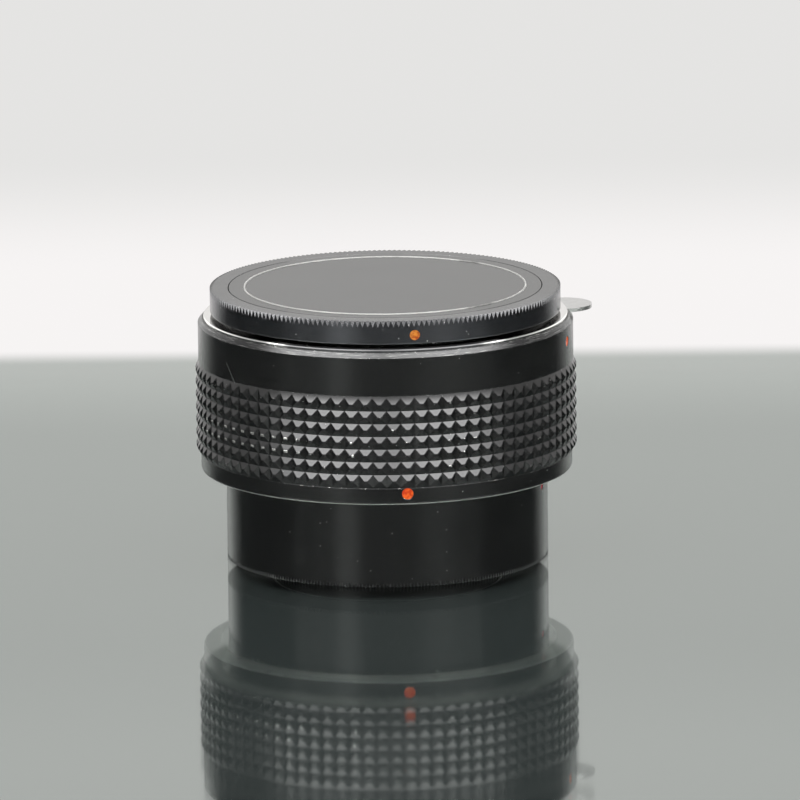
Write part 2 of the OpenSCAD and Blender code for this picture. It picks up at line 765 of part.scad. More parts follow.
// Lens blank from z_low to z_high with a domed front (dome > 0) and hollowed faces where asked
module element(d, z_low, z_high, dome_r, top_hollow_r, low_hollow_r, rim) {
  r = d / 2 - seat_fit;
  face_r = r - rim;
  difference() {
    union() {
      translate([0, 0, z_low])
        cylinder(r = r, h = z_high - z_low);
      if (dome_r > 0)
        intersection() {
          translate([0, 0, z_low])
            cylinder(r = face_r, h = z_high - z_low + dome_r);
          translate([0, 0, z_high + sag(dome_r, face_r) - dome_r])
            sphere(r = dome_r);
        }
    }
    if (top_hollow_r > 0)
      translate([0, 0, z_high - sag(top_hollow_r, face_r) + top_hollow_r])
        sphere(r = top_hollow_r);
    if (low_hollow_r > 0)
      translate([0, 0, z_low + sag(low_hollow_r, face_r) - low_hollow_r])
        sphere(r = low_hollow_r);
  }
}

module front_element() {
  color([0.45, 0.5, 0.62, 0.4])
    element(front_element_d, front_element_z, front_element_z + front_element_t,
      front_curve_r, 0, inner_curve_r, seat_w);
}

module second_element() {
  color([0.45, 0.5, 0.6, 0.4])
    element(second_element_d, second_element_z, second_element_z + second_element_t,
      0, inner_curve_r, 0, seat_w);
}

module third_element() {
  color([0.45, 0.5, 0.6, 0.4])
    element(third_element_d, third_element_z, third_element_z + third_element_t,
      front_curve_r, 0, inner_curve_r, seat_w);
}

module rear_element() {
  color([0.5, 0.45, 0.6, 0.4])
    element(rear_element_d, rear_element_z, rear_element_top_z, 0, inner_curve_r, inner_curve_r, seat_w);
}

module front_spacer() {
  r_out = second_element_d / 2 - seat_fit;
  color([0.15, 0.15, 0.15])
    arc_block(r_out - spacer_w, r_out, second_element_z + second_element_t, front_element_z);
}

module rear_spacer() {
  r_out = third_element_d / 2 - seat_fit;
  color([0.15, 0.15, 0.15])
    arc_block(r_out - spacer_w, r_out, third_element_z + third_element_t, second_element_z);
}

// Threaded ring that holds an element, with two notches for a spanner
module retaining_ring(r_out, r_in, z_low, z_high, notch_z) {
  notch_w = 1.2;
  notch_depth = 0.8;
  difference() {
    arc_block(r_in, r_out, z_low, z_high);
    translate([-r_out - cut, -notch_w / 2, notch_z - notch_depth / 2])
      cube([2 * (r_out + cut), notch_w, notch_depth]);
  }
}

module front_retaining_ring() {
  z_low = front_element_z + front_element_t;
  color([0.12, 0.12, 0.12])
    retaining_ring(front_element_d / 2 + thread_extra_r - seat_fit,
      front_element_d / 2 - seat_w + 2 * seat_fit, z_low, z_low + retaining_t, z_low + retaining_t);
}

module rear_retaining_ring() {
  color([0.12, 0.12, 0.12])
    retaining_ring(rear_element_d / 2 - seat_fit, rear_element_d / 2 - seat_w,
      rear_element_z - retaining_t, rear_element_z, rear_element_z - retaining_t);
}

module coupling_retainer() {
  color([0.6, 0.6, 0.6])
    arc_block(cell_d / 2 - clip_depth + seat_fit, cell_d / 2 + clip_out, clip_z + seat_fit,
      clip_z + clip_t - seat_fit, clip_open_angle, 360 - clip_open_angle);
}

module rear_mask() {
  color([0.08, 0.08, 0.08])
    difference() {
      arc_block(0, cell_foot_d / 2 - seat_fit, cell_bottom_z - mask_t, cell_bottom_z);
      translate([-mask_w / 2, -mask_h / 2, cell_bottom_z - mask_t - cut])
        cube([mask_w, mask_h, mask_t + 2 * cut]);
    }
}

module rear_mount() {
  notch_depth = pin_travel;
  color([0.78, 0.78, 0.77])
    difference() {
      union() {
        arc_block(spigot_bore_d / 2, rear_plate_d / 2, rear_z, rear_seat_z);
        arc_block(spigot_bore_d / 2, spigot_d / 2, rear_z - rear_spigot_l, rear_z + cut);
        three_arcs(spigot_d / 2 - cut, male_lug_d / 2, rear_lug_top_z - male_lug_t, rear_lug_top_z,
          lug_angle, lug_span);
      }
      mount_screw_hole(rear_z, 0, rear_plate_t);
      post(pin_d + 2 * pin_bore_fit, pin_circle_r, pin_angle, rear_z - cut, rear_z + notch_depth);
    }
}

module rear_mount_screws() {
  color([0.72, 0.72, 0.7])
    mount_screw_set(rear_z, 0);
}

// Finger of the release lever: flat over the peg, then a ramp that presses it down as the lever turns
module release_finger() {
  low_z = lever_z - pin_travel;
  high_z = lever_z + lever_t;
  start = -ramp_land - ramp_run - ramp_end;
  intersection() {
    arc_block(ramp_in_r, ramp_out_r, low_z, high_z);
    turned(pin_angle)
      translate([pin_circle_r, 0, 0])
        rotate([90, 0, 90])
          linear_extrude(height = ramp_out_r - pin_circle_r + cut)
            polygon([
              [ramp_land, high_z],
              [start, high_z],
              [start, low_z],
              [start + ramp_end, low_z],
              [-ramp_land, lever_z],
              [ramp_land, lever_z]]);
  }
}

module release_lever() {
  tongue_r = tab_reach - tab_w / 2;
  finger_mid = pin_angle - (ramp_run + ramp_end) / 2 / ramp_mid_r * 180 / PI;
  finger_span = (ramp_run + ramp_end) / ramp_mid_r * 180 / PI;
  strip_start = tab_angle - strip_lead_angle;
  strip_end = pin_angle + strip_tail_angle;
  color([0.8, 0.8, 0.78])
    union() {
      arc_block(strip_in_r, strip_out_r, lever_z, lever_z + lever_t,
        (strip_start + strip_end) / 2, strip_end - strip_start);
      turned(tab_angle)
        translate([0, 0, lever_z])
          linear_extrude(height = lever_t)
            difference() {
              union() {
                translate([tongue_r, 0])
                  circle(d = tab_w);
                translate([0, -tab_w / 2])
                  square([tongue_r, tab_w]);
              }
              circle(r = strip_in_r + side_gap);
            }
      arc_block(ramp_in_r + side_gap, strip_in_r + side_gap, lever_z, lever_z + lever_t,
        finger_mid, finger_span);
      release_finger();
    }
}

// Folded strip between the end of the lever and the end of its channel
module release_spring() {
  start = pin_angle + strip_tail_angle + stop_gap_angle;
  fold_h = lever_t - end_gap;
  mid_r = (strip_in_r + strip_out_r) / 2;
  swing = (strip_out_r - strip_in_r) / 2 - spring_t;
  steps = 2 * spring_folds;
  span = spring_angle - 2 * stop_gap_angle;
  function fold(i, side) = on_circle(mid_r + (i % 2 == 0 ? -swing : swing) + side * spring_t / 2,
    start + span * i / steps, 0);
  color([0.7, 0.7, 0.72])
    translate([0, 0, lever_z + end_gap / 2])
      linear_extrude(height = fold_h)
        polygon(concat(
          [for (i = [0:steps]) [fold(i, 1)[0], fold(i, 1)[1]]],
          [for (i = [steps:-1:0]) [fold(i, -1)[0], fold(i, -1)[1]]]));
}

module lock_pin() {
  color([0.82, 0.82, 0.8])
    union() {
      post(pin_d, pin_circle_r, pin_angle, front_seat_z - pin_below, front_z + pin_out);
      turned(pin_angle)
        translate([pin_circle_r, 0, peg_top_z - peg_d / 2])
          rotate([0, 90, 0])
            cylinder(d = peg_d, h = ramp_out_r - pin_circle_r, $fn = 48);
    }
}

// Round wire swept along points, with a direction across the wire at each of them
module swept_wire(points, across) {
  last = len(points) - 1;
  rings = [for (i = [0:last])
    let (
      along = unit(points[min(i + 1, last)] - points[max(i - 1, 0)]),
      side = unit(cross(along, across[i])),
      out = cross(side, along))
    each [for (k = [0:wire_sides - 1])
      points[i] + wire_d / 2 * (cos(360 * k / wire_sides) * out + sin(360 * k / wire_sides) * side)]];
  walls = [for (i = [0:last - 1], k = [0:wire_sides - 1])
    let (
      a = i * wire_sides + k,
      b = i * wire_sides + (k + 1) % wire_sides)
    each [[a, b, b + wire_sides], [a, b + wire_sides, a + wire_sides]]];
  end = last * wire_sides;
  caps = [for (k = [1:wire_sides - 2]) each [[0, k + 1, k], [end, end + k, end + k + 1]]];
  polyhedron(rings, concat(walls, caps));
}

// Smallest gap between one turn of a coil and the next
function turn_gap(points) = min([for (i = [0:len(points) - 1 - rings_per_turn])
  norm(points[i + rings_per_turn] - points[i])]) - wire_d;

// Coil whose axis follows an arc round the cell, from the post on the frame to the ear on the ring
module arc_coil(z, start) {
  coil_r = (coil_d - wire_d) / 2;
  steps = coil_turns * rings_per_turn;
  clear = (post_d / 2 + wire_d + end_gap) / coil_arc_r * 180 / PI;
  ear_clear = ear_span / 2 + (wire_d / 2 + end_gap) / coil_arc_r * 180 / PI;
  span = post_to_ear_angle - clear - ear_clear;
  points = [for (i = [0:steps])
    on_circle(coil_arc_r + coil_r * cos(360 * i / rings_per_turn), start + clear + span * i / steps,
      z + coil_r * sin(360 * i / rings_per_turn))];
  across = [for (i = [0:steps])
    let (a = start + clear + span * i / steps + front_side, t = 360 * i / rings_per_turn)
      [cos(t) * cos(a), cos(t) * sin(a), sin(t)]];
  echo("coil gap", turn_gap(points));
  swept_wire(points, across);
}

module lock_pin_spring() {
  coil_r = (pin_coil_d - wire_d) / 2;
  low_z = front_ledge_z + pin_floor + wire_d / 2 + end_gap;
  high_z = front_seat_z - pin_below - wire_d / 2 - end_gap;
  steps = pin_coil_turns * rings_per_turn;
  centre = on_circle(pin_circle_r, pin_angle, 0);
  across = [for (i = [0:steps]) [cos(360 * i / rings_per_turn), sin(360 * i / rings_per_turn), 0]];
  points = [for (i = [0:steps])
    centre + coil_r * across[i] + [0, 0, low_z + (high_z - low_z) * i / steps]];
  echo("pin coil gap", turn_gap(points));
  color([0.7, 0.7, 0.72])
    swept_wire(points, across);
}

// Ring on the cell with an ear for its spring
module coupling_ring(z, ear_angle) {
  arc_block(coupling_bore_r, coupling_d / 2, z, z + coupling_t);
  arc_block(coupling_d / 2 - cut, ear_r, z, z + coupling_t, ear_angle, ear_span);
}

module diaphragm_ring() {
  top_z = diaphragm_z + coupling_t;
  color([0.75, 0.65, 0.42])
    union() {
      coupling_ring(diaphragm_z, diaphragm_post_angle + post_to_ear_angle);
      arc_block(lever_in_r, lever_out_r, lever_tip_z, top_z, diaphragm_rear_angle, lever_span);
      arc_block(coupling_d / 2 - cut, bypass_out_r, diaphragm_z, top_z, diaphragm_front_angle, lever_span);
      arc_block(bypass_in_r, bypass_out_r, diaphragm_z, front_lever_z, diaphragm_front_angle, lever_span);
    }
}

module diaphragm_spring() {
  color([0.7, 0.7, 0.72])
    arc_coil(diaphragm_z + coupling_t / 2, diaphragm_post_angle);
}

module aperture_ring() {
  top_z = aperture_z + coupling_t;
  foot_z = rear_seat_z + foot_above;
  color([0.7, 0.7, 0.68])
    union() {
      coupling_ring(aperture_z, aperture_post_angle + post_to_ear_angle);
      arc_block(lever_in_r, lever_out_r, aperture_z, front_lever_z, aperture_front_angle, lever_span);
      arc_block(coupling_d / 2 - cut, bypass_out_r, aperture_z, top_z, aperture_rear_angle, lever_span);
      arc_block(bypass_in_r, bypass_out_r, foot_z, top_z, aperture_rear_angle, lever_span);
      arc_block(lever_in_r, bypass_out_r, foot_z, foot_z + foot_t, aperture_rear_angle, lever_span);
      arc_block(lever_in_r, lever_out_r, lever_tip_z, foot_z + foot_t, aperture_rear_angle, lever_span);
    }
}

module aperture_spring() {
  color([0.7, 0.7, 0.72])
    arc_coil(aperture_z + coupling_t / 2, aperture_post_angle);
}

module front_cap_rim() {
  outer_r = front_cap_d / 2;
  skirt_r = outer_r - front_cap_wall;
  skirt_z = front_z + front_cap_gap;
  web_low_z = front_disc_z - front_cap_web;
  spigot_z = front_z - front_cap_spigot_l;
  color([0.1, 0.1, 0.1])
    difference() {
      union() {
        rotate_extrude()
          polygon([
            [spigot_bore_d / 2, spigot_z],
            [spigot_d / 2, spigot_z],
            [spigot_d / 2, front_z],
            [front_cap_seat_r, front_z],
            [front_cap_seat_r, web_low_z],
            [skirt_r, web_low_z],
            [skirt_r, skirt_z],
            [outer_r, skirt_z],
            [outer_r, front_cap_top_z - cap_bevel],
            [outer_r - cap_bevel, front_cap_top_z],
            [front_disc_d / 2 + run_fit, front_cap_top_z],
            [front_disc_d / 2 + run_fit, front_disc_z],
            [spigot_bore_d / 2, front_disc_z]]);
        three_arcs(spigot_d / 2 - cut, male_lug_d / 2, front_cap_lug_top_z - male_lug_t,
          front_cap_lug_top_z, lug_angle + 60, cap_lug_span);
      }
      side_dot(front_dot_d, outer_r, front_cap_dot_angle, front_cap_dot_z, -dot_depth, cut);
    }
}

module front_cap_disc() {
  color([0.14, 0.14, 0.14])
    bright_ring_groove(front_cap_top_z)
      arc_block(0, front_disc_d / 2, front_disc_z + disc_gap, front_cap_top_z);
}

// Cuts the groove of the bright ring into a disc's upper face
module bright_ring_groove(z) {
  difference() {
    children();
    arc_block((bright_ring_d - bright_ring_w) / 2, (bright_ring_d + bright_ring_w) / 2,
      z - ring_depth, z + cut);
  }
}

module front_cap_ring() {
  in_r = (bright_ring_d - bright_ring_w) / 2 + disc_gap;
  out_r = (bright_ring_d + bright_ring_w) / 2 - disc_gap;
  crest_z = front_cap_top_z + bright_ring_proud;
  slope_w = (out_r - in_r) / 4;
  color([0.9, 0.9, 0.88])
    rotate_extrude()
      polygon([
        [in_r, front_cap_top_z - ring_depth],
        [out_r, front_cap_top_z - ring_depth],
        [out_r, front_cap_top_z],
        [out_r - slope_w, crest_z],
        [in_r + slope_w, crest_z],
        [in_r, front_cap_top_z]]);
}

module front_cap_dot() {
  color([0.9, 0.45, 0.12])
    side_dot(front_dot_d - 2 * disc_gap, front_cap_d / 2, front_cap_dot_angle, front_cap_dot_z,
      -dot_depth, -paint_below);
}

module rear_cap_shell() {
  outer_r = rear_cap_d / 2;
  inner_r = outer_r - rear_cap_wall;
  hole_r = rear_disc_d / 2 + run_fit;
  lip_r = hole_r - rear_disc_lip;
  lip_z = rear_cap_floor - rear_disc_lip;
  color([0.1, 0.1, 0.1])
    difference() {
      union() {
        rotate_extrude()
          polygon([
            [lip_r, 0],
            [outer_r - cap_bevel, 0],
            [outer_r, cap_bevel],
            [outer_r, rear_cap_h],
            [inner_r, rear_cap_h],
            [inner_r, rear_cap_floor],
            [hole_r, rear_cap_floor],
            [hole_r, lip_z],
            [lip_r, lip_z]]);
        three_arcs(female_lug_d / 2, inner_r + rear_cap_wall / 2, rear_cap_lug_z, rear_cap_h,
          lug_angle + 60, cap_lug_span);
      }
      side_dot(rear_cap_dot_d, outer_r, rear_cap_dot_angle, rear_cap_dot_z, -dot_depth, cut);
    }
}

module rear_cap_disc() {
  disc_r = rear_disc_d / 2;
  foot_r = disc_r - rear_disc_lip;
  lip_z = rear_cap_floor - rear_disc_lip + disc_gap;
  groove_r = foot_r * rear_ring_share;
  color([0.14, 0.14, 0.14])
    difference() {
      union() {
        arc_block(0, foot_r, 0, rear_cap_floor);
        arc_block(0, disc_r, lip_z, rear_cap_floor);
      }
      arc_block(groove_r - bright_ring_w / 2, groove_r + bright_ring_w / 2, -cut, ring_depth);
    }
}

module rear_cap_ring() {
  groove_r = (rear_disc_d / 2 - rear_disc_lip) * rear_ring_share;
  color([0.9, 0.9, 0.88])
    arc_block(groove_r - bright_ring_w / 2 + disc_gap, groove_r + bright_ring_w / 2 - disc_gap,
      0, ring_depth);
}

module rear_cap_dot() {
  color([0.7, 0.12, 0.14])
    side_dot(rear_cap_dot_d - 2 * disc_gap, rear_cap_d / 2, rear_cap_dot_angle, rear_cap_dot_z,
      -dot_depth, -paint_below);
}

outer_barrel();
grip_ring();
front_index_dot();
rear_index_dot();
front_mount();
front_mount_screws();
lug_spring();
inner_frame();
frame_screws();
lens_cell();
front_element();
front_spacer();
second_element();
third_element();
rear_spacer();
rear_element();
front_retaining_ring();
rear_retaining_ring();
coupling_retainer();
rear_mask();
rear_mount();
rear_mount_screws();
release_lever();
release_spring();
lock_pin();
lock_pin_spring();
diaphragm_ring();
diaphragm_spring();
aperture_ring();
aperture_spring();
front_cap_rim();
front_cap_disc();
front_cap_ring();
front_cap_dot();
rear_cap_shell();
rear_cap_disc();
rear_cap_ring();
rear_cap_dot();
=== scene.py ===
import math

import bmesh
import bpy
from mathutils import Matrix, Vector


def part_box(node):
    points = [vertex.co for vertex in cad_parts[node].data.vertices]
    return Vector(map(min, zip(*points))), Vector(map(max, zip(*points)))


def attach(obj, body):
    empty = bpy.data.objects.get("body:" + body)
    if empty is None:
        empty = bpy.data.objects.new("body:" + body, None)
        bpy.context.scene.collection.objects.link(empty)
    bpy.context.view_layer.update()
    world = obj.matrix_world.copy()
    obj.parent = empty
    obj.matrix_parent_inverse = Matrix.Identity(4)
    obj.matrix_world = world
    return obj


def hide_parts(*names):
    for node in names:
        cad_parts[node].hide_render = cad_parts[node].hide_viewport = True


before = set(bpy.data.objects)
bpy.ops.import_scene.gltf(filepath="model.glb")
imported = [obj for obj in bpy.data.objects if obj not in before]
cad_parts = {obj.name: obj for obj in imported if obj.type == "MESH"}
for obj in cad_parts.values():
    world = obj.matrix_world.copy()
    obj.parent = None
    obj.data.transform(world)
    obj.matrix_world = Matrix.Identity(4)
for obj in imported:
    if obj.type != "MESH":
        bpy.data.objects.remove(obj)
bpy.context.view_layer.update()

# A camera teleconverter with both caps on, dressed over its CAD frame, with its stage, light and camera.
# Angles are in degrees and start at the viewer's side, unless a line says otherwise.

MM = 0.001
UP = Vector((0, 0, 1))


def top_of(node):
    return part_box(node)[1].z / MM


def foot_of(node):
    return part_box(node)[0].z / MM


def reach_of(node):
    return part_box(node)[1].x / MM


# Sizes in millimetres. The frame gives what it can, and the rest are the part's own sizes.
barrel_r = reach_of("outer_barrel")
barrel_foot_z = foot_of("outer_barrel")
barrel_top_z = top_of("outer_barrel")
chamfer_h = 0.82
lower_band_r = 32.27
grip_foot_z = foot_of("grip_ring")
grip_top_z = top_of("grip_ring")
grip_tip_r = reach_of("grip_ring")
grip_depth = 0.4
grip_seat_r = 31.65
flange_z = top_of("front_mount")
flange_lip_t = 0.5
flange_lip_in_r = 30.4

# The caps. Each has three lugs, and a disc with a bright ring: in a pocket of the front cap's rim, and in a
# hole in the rear cap's floor, where it rests on a lip.
cap_r = reach_of("front_cap_rim")
cap_foot_z = foot_of("front_cap_rim")
disc_top_z = top_of("front_cap_disc")
front_notch_h = 1.1
front_pocket_r = 27.29
rear_cap_r = reach_of("rear_cap_shell")
rear_cap_top_z = top_of("rear_cap_shell")
rear_notch_h = 0.9
rear_hole_r = 23.05
rear_lip_r = 22.05
rear_lip_t = 1.0
spigot_in_r = 20.8
spigot_out_r = 22.6
male_lug_r = 24.0
male_lug_t = 1.3
cap_lug_angles = (90, 210, 330)
cap_lug_span = 40
lug_edges = [mid + side * cap_lug_span / 2 for mid in cap_lug_angles for side in (-1, 1)]
ring_w = 0.4
front_ring_r = 24.4
rear_ring_r = 19.8

# Index dots: how far round they stand, in degrees, how high, and how wide they are.
front_dot_angle = 74.5
front_dot_z = barrel_top_z - 3.2
front_dot_d = 1.8
rear_dot_angle = 6.25
rear_dot_z = barrel_foot_z + 1.95
rear_dot_d = 2.0
front_cap_dot_angle = 9.5
front_cap_dot_z = flange_z + 2.2
rear_cap_dot_angle = 74
rear_cap_dot_z = rear_cap_top_z - 1.9
rear_cap_dot_d = 1.4
dimple_depth = 0.4
dot_sides = 48

# Gap between the paint or the ring and what holds it, and the angle in degrees above which edges are sharp.
fit_gap = 0.02
sharp_angle = 30


# Geometry


def linked(name, data):
    """A new object in the scene."""
    obj = bpy.data.objects.new(name, data)
    bpy.context.scene.collection.objects.link(obj)
    return obj


def smooth(mesh, sharp):
    """Shades a mesh smooth but for edges sharper than the angle."""
    mesh.polygons.foreach_set("use_smooth", [True] * len(mesh.polygons))
    mesh.set_sharp_from_angle(angle=math.radians(sharp))


def bake(obj):
    """Applies an object's modifiers."""
    done = bpy.data.meshes.new_from_object(obj.evaluated_get(bpy.context.evaluated_depsgraph_get()))
    obj.modifiers.clear()
    obj.data = done


def weld(mesh, finish_off):
    """Joins the points of a mesh that coincide, and then finishes it off in the same edit."""
    edit = bmesh.new()
    edit.from_mesh(mesh)
    bmesh.ops.remove_doubles(edit, verts=edit.verts, dist=1e-7)
    finish_off(edit)
    edit.to_mesh(mesh)
    edit.free()


def face_outwards(edit):
    bmesh.ops.recalc_face_normals(edit, faces=edit.faces)


def join_flat_faces(edit):
    flat = math.radians(0.5)
    bmesh.ops.dissolve_limit(edit, angle_limit=flat, verts=edit.verts, edges=edit.edges)


def make_object(name, verts, faces, sharp=sharp_angle):
    """A mesh object from points in millimetres, smooth but for edges sharper than the angle."""
    mesh = bpy.data.meshes.new(name)
    mesh.from_pydata([Vector(v) * MM for v in verts], [], faces)
    weld(mesh, face_outwards)
    smooth(mesh, sharp)
    return linked(name, mesh)


def place(obj, body, slot, mat, *replaced):
    """Puts a piece on its body with its material, in place of the nodes that it stands for. The slot is not
    used.
    """
    obj.data.materials.append(mat)
    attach(obj, body)
    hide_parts(*replaced)


def around(angle, r, z):
    """Point at an angle counter-clockwise from the viewer's side."""
    a = math.radians(angle - 90)
    return (r * math.cos(a), r * math.sin(a), z)


def full_circle(count):
    return [360 * i / count for i in range(count)]


def revolved(name, profile, angles, sharp=sharp_angle):
    """Closed ring: profile(angle) gives its outline as (r, z) pairs, as many at each angle."""
    verts = [around(a, r, z) for a in angles for r, z in profile(a)]
    n = len(profile(angles[0]))
    count = len(angles)
    faces = []
    for i in range(count):
        k = (i + 1) % count
        for j in range(n):
            m = (j + 1) % n
            faces.append((i * n + j, k * n + j, k * n + m, i * n + m))
    return make_object(name, verts, faces, sharp)


def rounded(points, radii):
    """Outline with its corners rounded, each by its own radius, and the flats beside them held flat."""
    steps = 3
    hold_share = 1.4
    out = []
    for i, (p, radius) in enumerate(zip(points, radii)):
        here = Vector(p)
        if radius == 0:
            out.append(tuple(here))
            continue
        back = (Vector(points[i - 1]) - here).normalized()
        ahead = (Vector(points[(i + 1) % len(points)]) - here).normalized()
        out.append(tuple(here + back * radius * hold_share))
        for k in range(steps + 1):
            t = k / steps
            a = here + back * radius * (1 - t) ** 2
            out.append(tuple(a + ahead * radius * t ** 2))
        out.append(tuple(here + ahead * radius * hold_share))
    return out


def tooth_angles(teeth, crest_share):
    """Angles where a row of notches bends, with a close pair at each end of a lug."""
    pitch = 360 / teeth
    half_pair = 0.02
    decimals = 5
    bends = [(i + share) * pitch for i in range(teeth) for share in (0, crest_share, (1 + crest_share) / 2)]
    bends += [edge + side * half_pair for edge in lug_edges for side in (-1, 1)]
    return sorted({round(angle, decimals) for angle in bends})


def notch_depth(angle, teeth, crest_share):
    """0 on the crest of a tooth, 1 in the bottom of the notch beside it."""
    part = (angle * teeth / 360) % 1
    if part <= crest_share:
        return 0
    half = (1 - crest_share) / 2
    return max(0, 1 - abs(part - crest_share - half) / half)


def on_lug(angle):
    """Whether an angle lies within one of a cap's three lugs."""
    return any(abs((angle - mid + 180) % 360 - 180) < cap_lug_span / 2 for mid in cap_lug_angles)


def front_cap_rim():
    """Rim of the front cap, with notches milled into its upper edge and three lugs on its spigot."""
    teeth = 216
    crest_share = 0.1
    notch_w = 0.6
    land_w = 0.5
    pocket_z = disc_top_z - 2.1
    pocket_round = 0.12
    hole_round = 0.1
    spigot_round = 0.2
    web_z = pocket_z - 1.0
    skirt_in_r = cap_r - 1.74
    skirt_z = flange_z + 0.6
    skirt_in_round = 0.15
    skirt_out_round = 0.2
    seat_r = 25.7
    lug_top_z = flange_z - 1.65
    lug_foot_z = lug_top_z - male_lug_t
    # The seat stays clear of the flange by a hair, so that the two faces don't count as touching.
    seat_z = flange_z + 0.02
    inner = rounded(
        [(cap_r - notch_w - land_w, disc_top_z), (front_pocket_r, disc_top_z), (front_pocket_r, pocket_z),
         (spigot_in_r, pocket_z), (spigot_in_r, cap_foot_z), (spigot_out_r, cap_foot_z),
         (spigot_out_r, lug_foot_z)],
        [0, pocket_round, 0, hole_round, spigot_round, spigot_round, 0])
    under = [(spigot_out_r, seat_z), (seat_r, seat_z), (seat_r, web_z), (skirt_in_r, web_z)]
    skirt = rounded(
        [(skirt_in_r, web_z), (skirt_in_r, skirt_z), (cap_r, skirt_z), (cap_r, disc_top_z - front_notch_h)],
        [0, skirt_in_round, skirt_out_round, 0])[1:]

    def profile(angle):
        lug_r = male_lug_r if on_lug(angle) else spigot_out_r
        lugs = [(lug_r, lug_foot_z), (lug_r, lug_top_z), (spigot_out_r, lug_top_z)]
        t = notch_depth(angle, teeth, crest_share)
        edge = [(cap_r, disc_top_z - front_notch_h * t), (cap_r - notch_w * t, disc_top_z)]
        return inner + lugs + under + skirt + edge

    rim = revolved("front_cap_milled_rim", profile, tooth_angles(teeth, crest_share))
    return dimpled(rim, front_cap_dot_angle, cap_r, front_cap_dot_z, front_dot_d)


def rear_cap_shell():
    """Shell of the rear cap, with finer notches round its foot and three lugs in its mouth."""
    teeth = 297
    crest_share = 0.12
    notch_w = 0.4
    hole_round = 0.1
    lip_round = 0.12
    floor_z = 2.0
    floor_round = 0.5
    wall_r = rear_cap_r - 2.0
    mouth_round = 0.15
    lug_in_r = 22.9
    lug_z = rear_cap_top_z - 1.45
    floor = rounded(
        [(wall_r, lug_z), (wall_r, floor_z), (rear_hole_r, floor_z), (rear_hole_r, rear_lip_t),
         (rear_lip_r, rear_lip_t), (rear_lip_r, 0), (rear_cap_r - notch_w, 0)],
        [0, floor_round, hole_round, 0, 0, lip_round, 0])
    outside = rounded(
        [(rear_cap_r, rear_notch_h), (rear_cap_r, rear_cap_top_z), (wall_r, rear_cap_top_z)],
        [0, mouth_round, 0])

    def profile(angle):
        lug_r = lug_in_r if on_lug(angle) else wall_r
        lugs = [(lug_r, rear_cap_top_z), (lug_r, lug_z)]
        t = notch_depth(angle, teeth, crest_share)
        edge = [(rear_cap_r - notch_w * t, 0), (rear_cap_r, rear_notch_h * t)]
        return floor + edge + outside + lugs

    shell = revolved("rear_cap_milled_shell", profile, tooth_angles(teeth, crest_share))
    return dimpled(shell, rear_cap_dot_angle, rear_cap_r, rear_cap_dot_z, rear_cap_dot_d)


def cap_disc(name, outer, face_z, back_z, ring_r):
    """Disc of a cap with an outer outline, softened edges and a groove for a bright ring in its face."""
    groove_depth = 0.3
    groove_round = 0.03
    rim_round = 0.12
    steps = 360
    groove_z = face_z + math.copysign(groove_depth, back_z - face_z)
    groove = [(ring_r - ring_w / 2, face_z), (ring_r - ring_w / 2, groove_z),
              (ring_r + ring_w / 2, groove_z), (ring_r + ring_w / 2, face_z)]
    radii = [0, groove_round, 0, 0, groove_round] + [rim_round] * len(outer) + [0]
    outline = rounded([(0, face_z)] + groove + outer + [(0, back_z)], radii)
    return revolved(name, lambda angle: outline, full_circle(steps))


def front_cap_disc():
    """Disc in the front cap's pocket, flush with the rim."""
    disc_r = front_pocket_r - 0.13
    foot_z = foot_of("front_cap_disc")
    outer = [(disc_r, disc_top_z), (disc_r, foot_z)]
    return cap_disc("front_cap_plate_disc", outer, disc_top_z, foot_z, front_ring_r)


def rear_cap_disc():
    """Disc in the rear cap's floor, which rests on the lip with its wider upper part."""
    low_r = rear_lip_r - 0.07
    high_r = rear_hole_r - 0.08
    shoulder_z = rear_lip_t + 0.03
    top_z = top_of("rear_cap_disc")
    outer = [(low_r, 0), (low_r, shoulder_z), (high_r, shoulder_z), (high_r, top_z)]
    return cap_disc("rear_cap_plate_disc", outer, 0, top_z, rear_ring_r)


def bright_ring(name, ring_r, face_z, back_z, dome_share):
    """Ring in the groove of a cap's disc, with a domed face."""
    bend_steps = 6
    turn_steps = 720
    blunt_angle = 50
    half = ring_w / 2 - fit_gap
    drop = (back_z - face_z) * dome_share
    bead = []
    for k in range(bend_steps + 1):
        a = math.pi * k / bend_steps
        bead.append((ring_r + half * math.cos(a), face_z + drop * (1 - math.sin(a))))
    outline = [(ring_r - half, back_z), (ring_r + half, back_z)] + bead
    return revolved(name, lambda angle: outline, full_circle(turn_steps), blunt_angle)


def front_cap_ring():
    """The front cap's ring, which is clearly domed."""
    return bright_ring("front_cap_bright_ring", front_ring_r, top_of("front_cap_ring"),
                       foot_of("front_cap_ring"), dome_share=0.45)


def rear_cap_ring():
    """The rear cap's ring, which is nearly flat and faces down."""
    return bright_ring("rear_cap_bright_ring", rear_ring_r, foot_of("rear_cap_ring"),
                       top_of("rear_cap_ring"), dome_share=0.08)


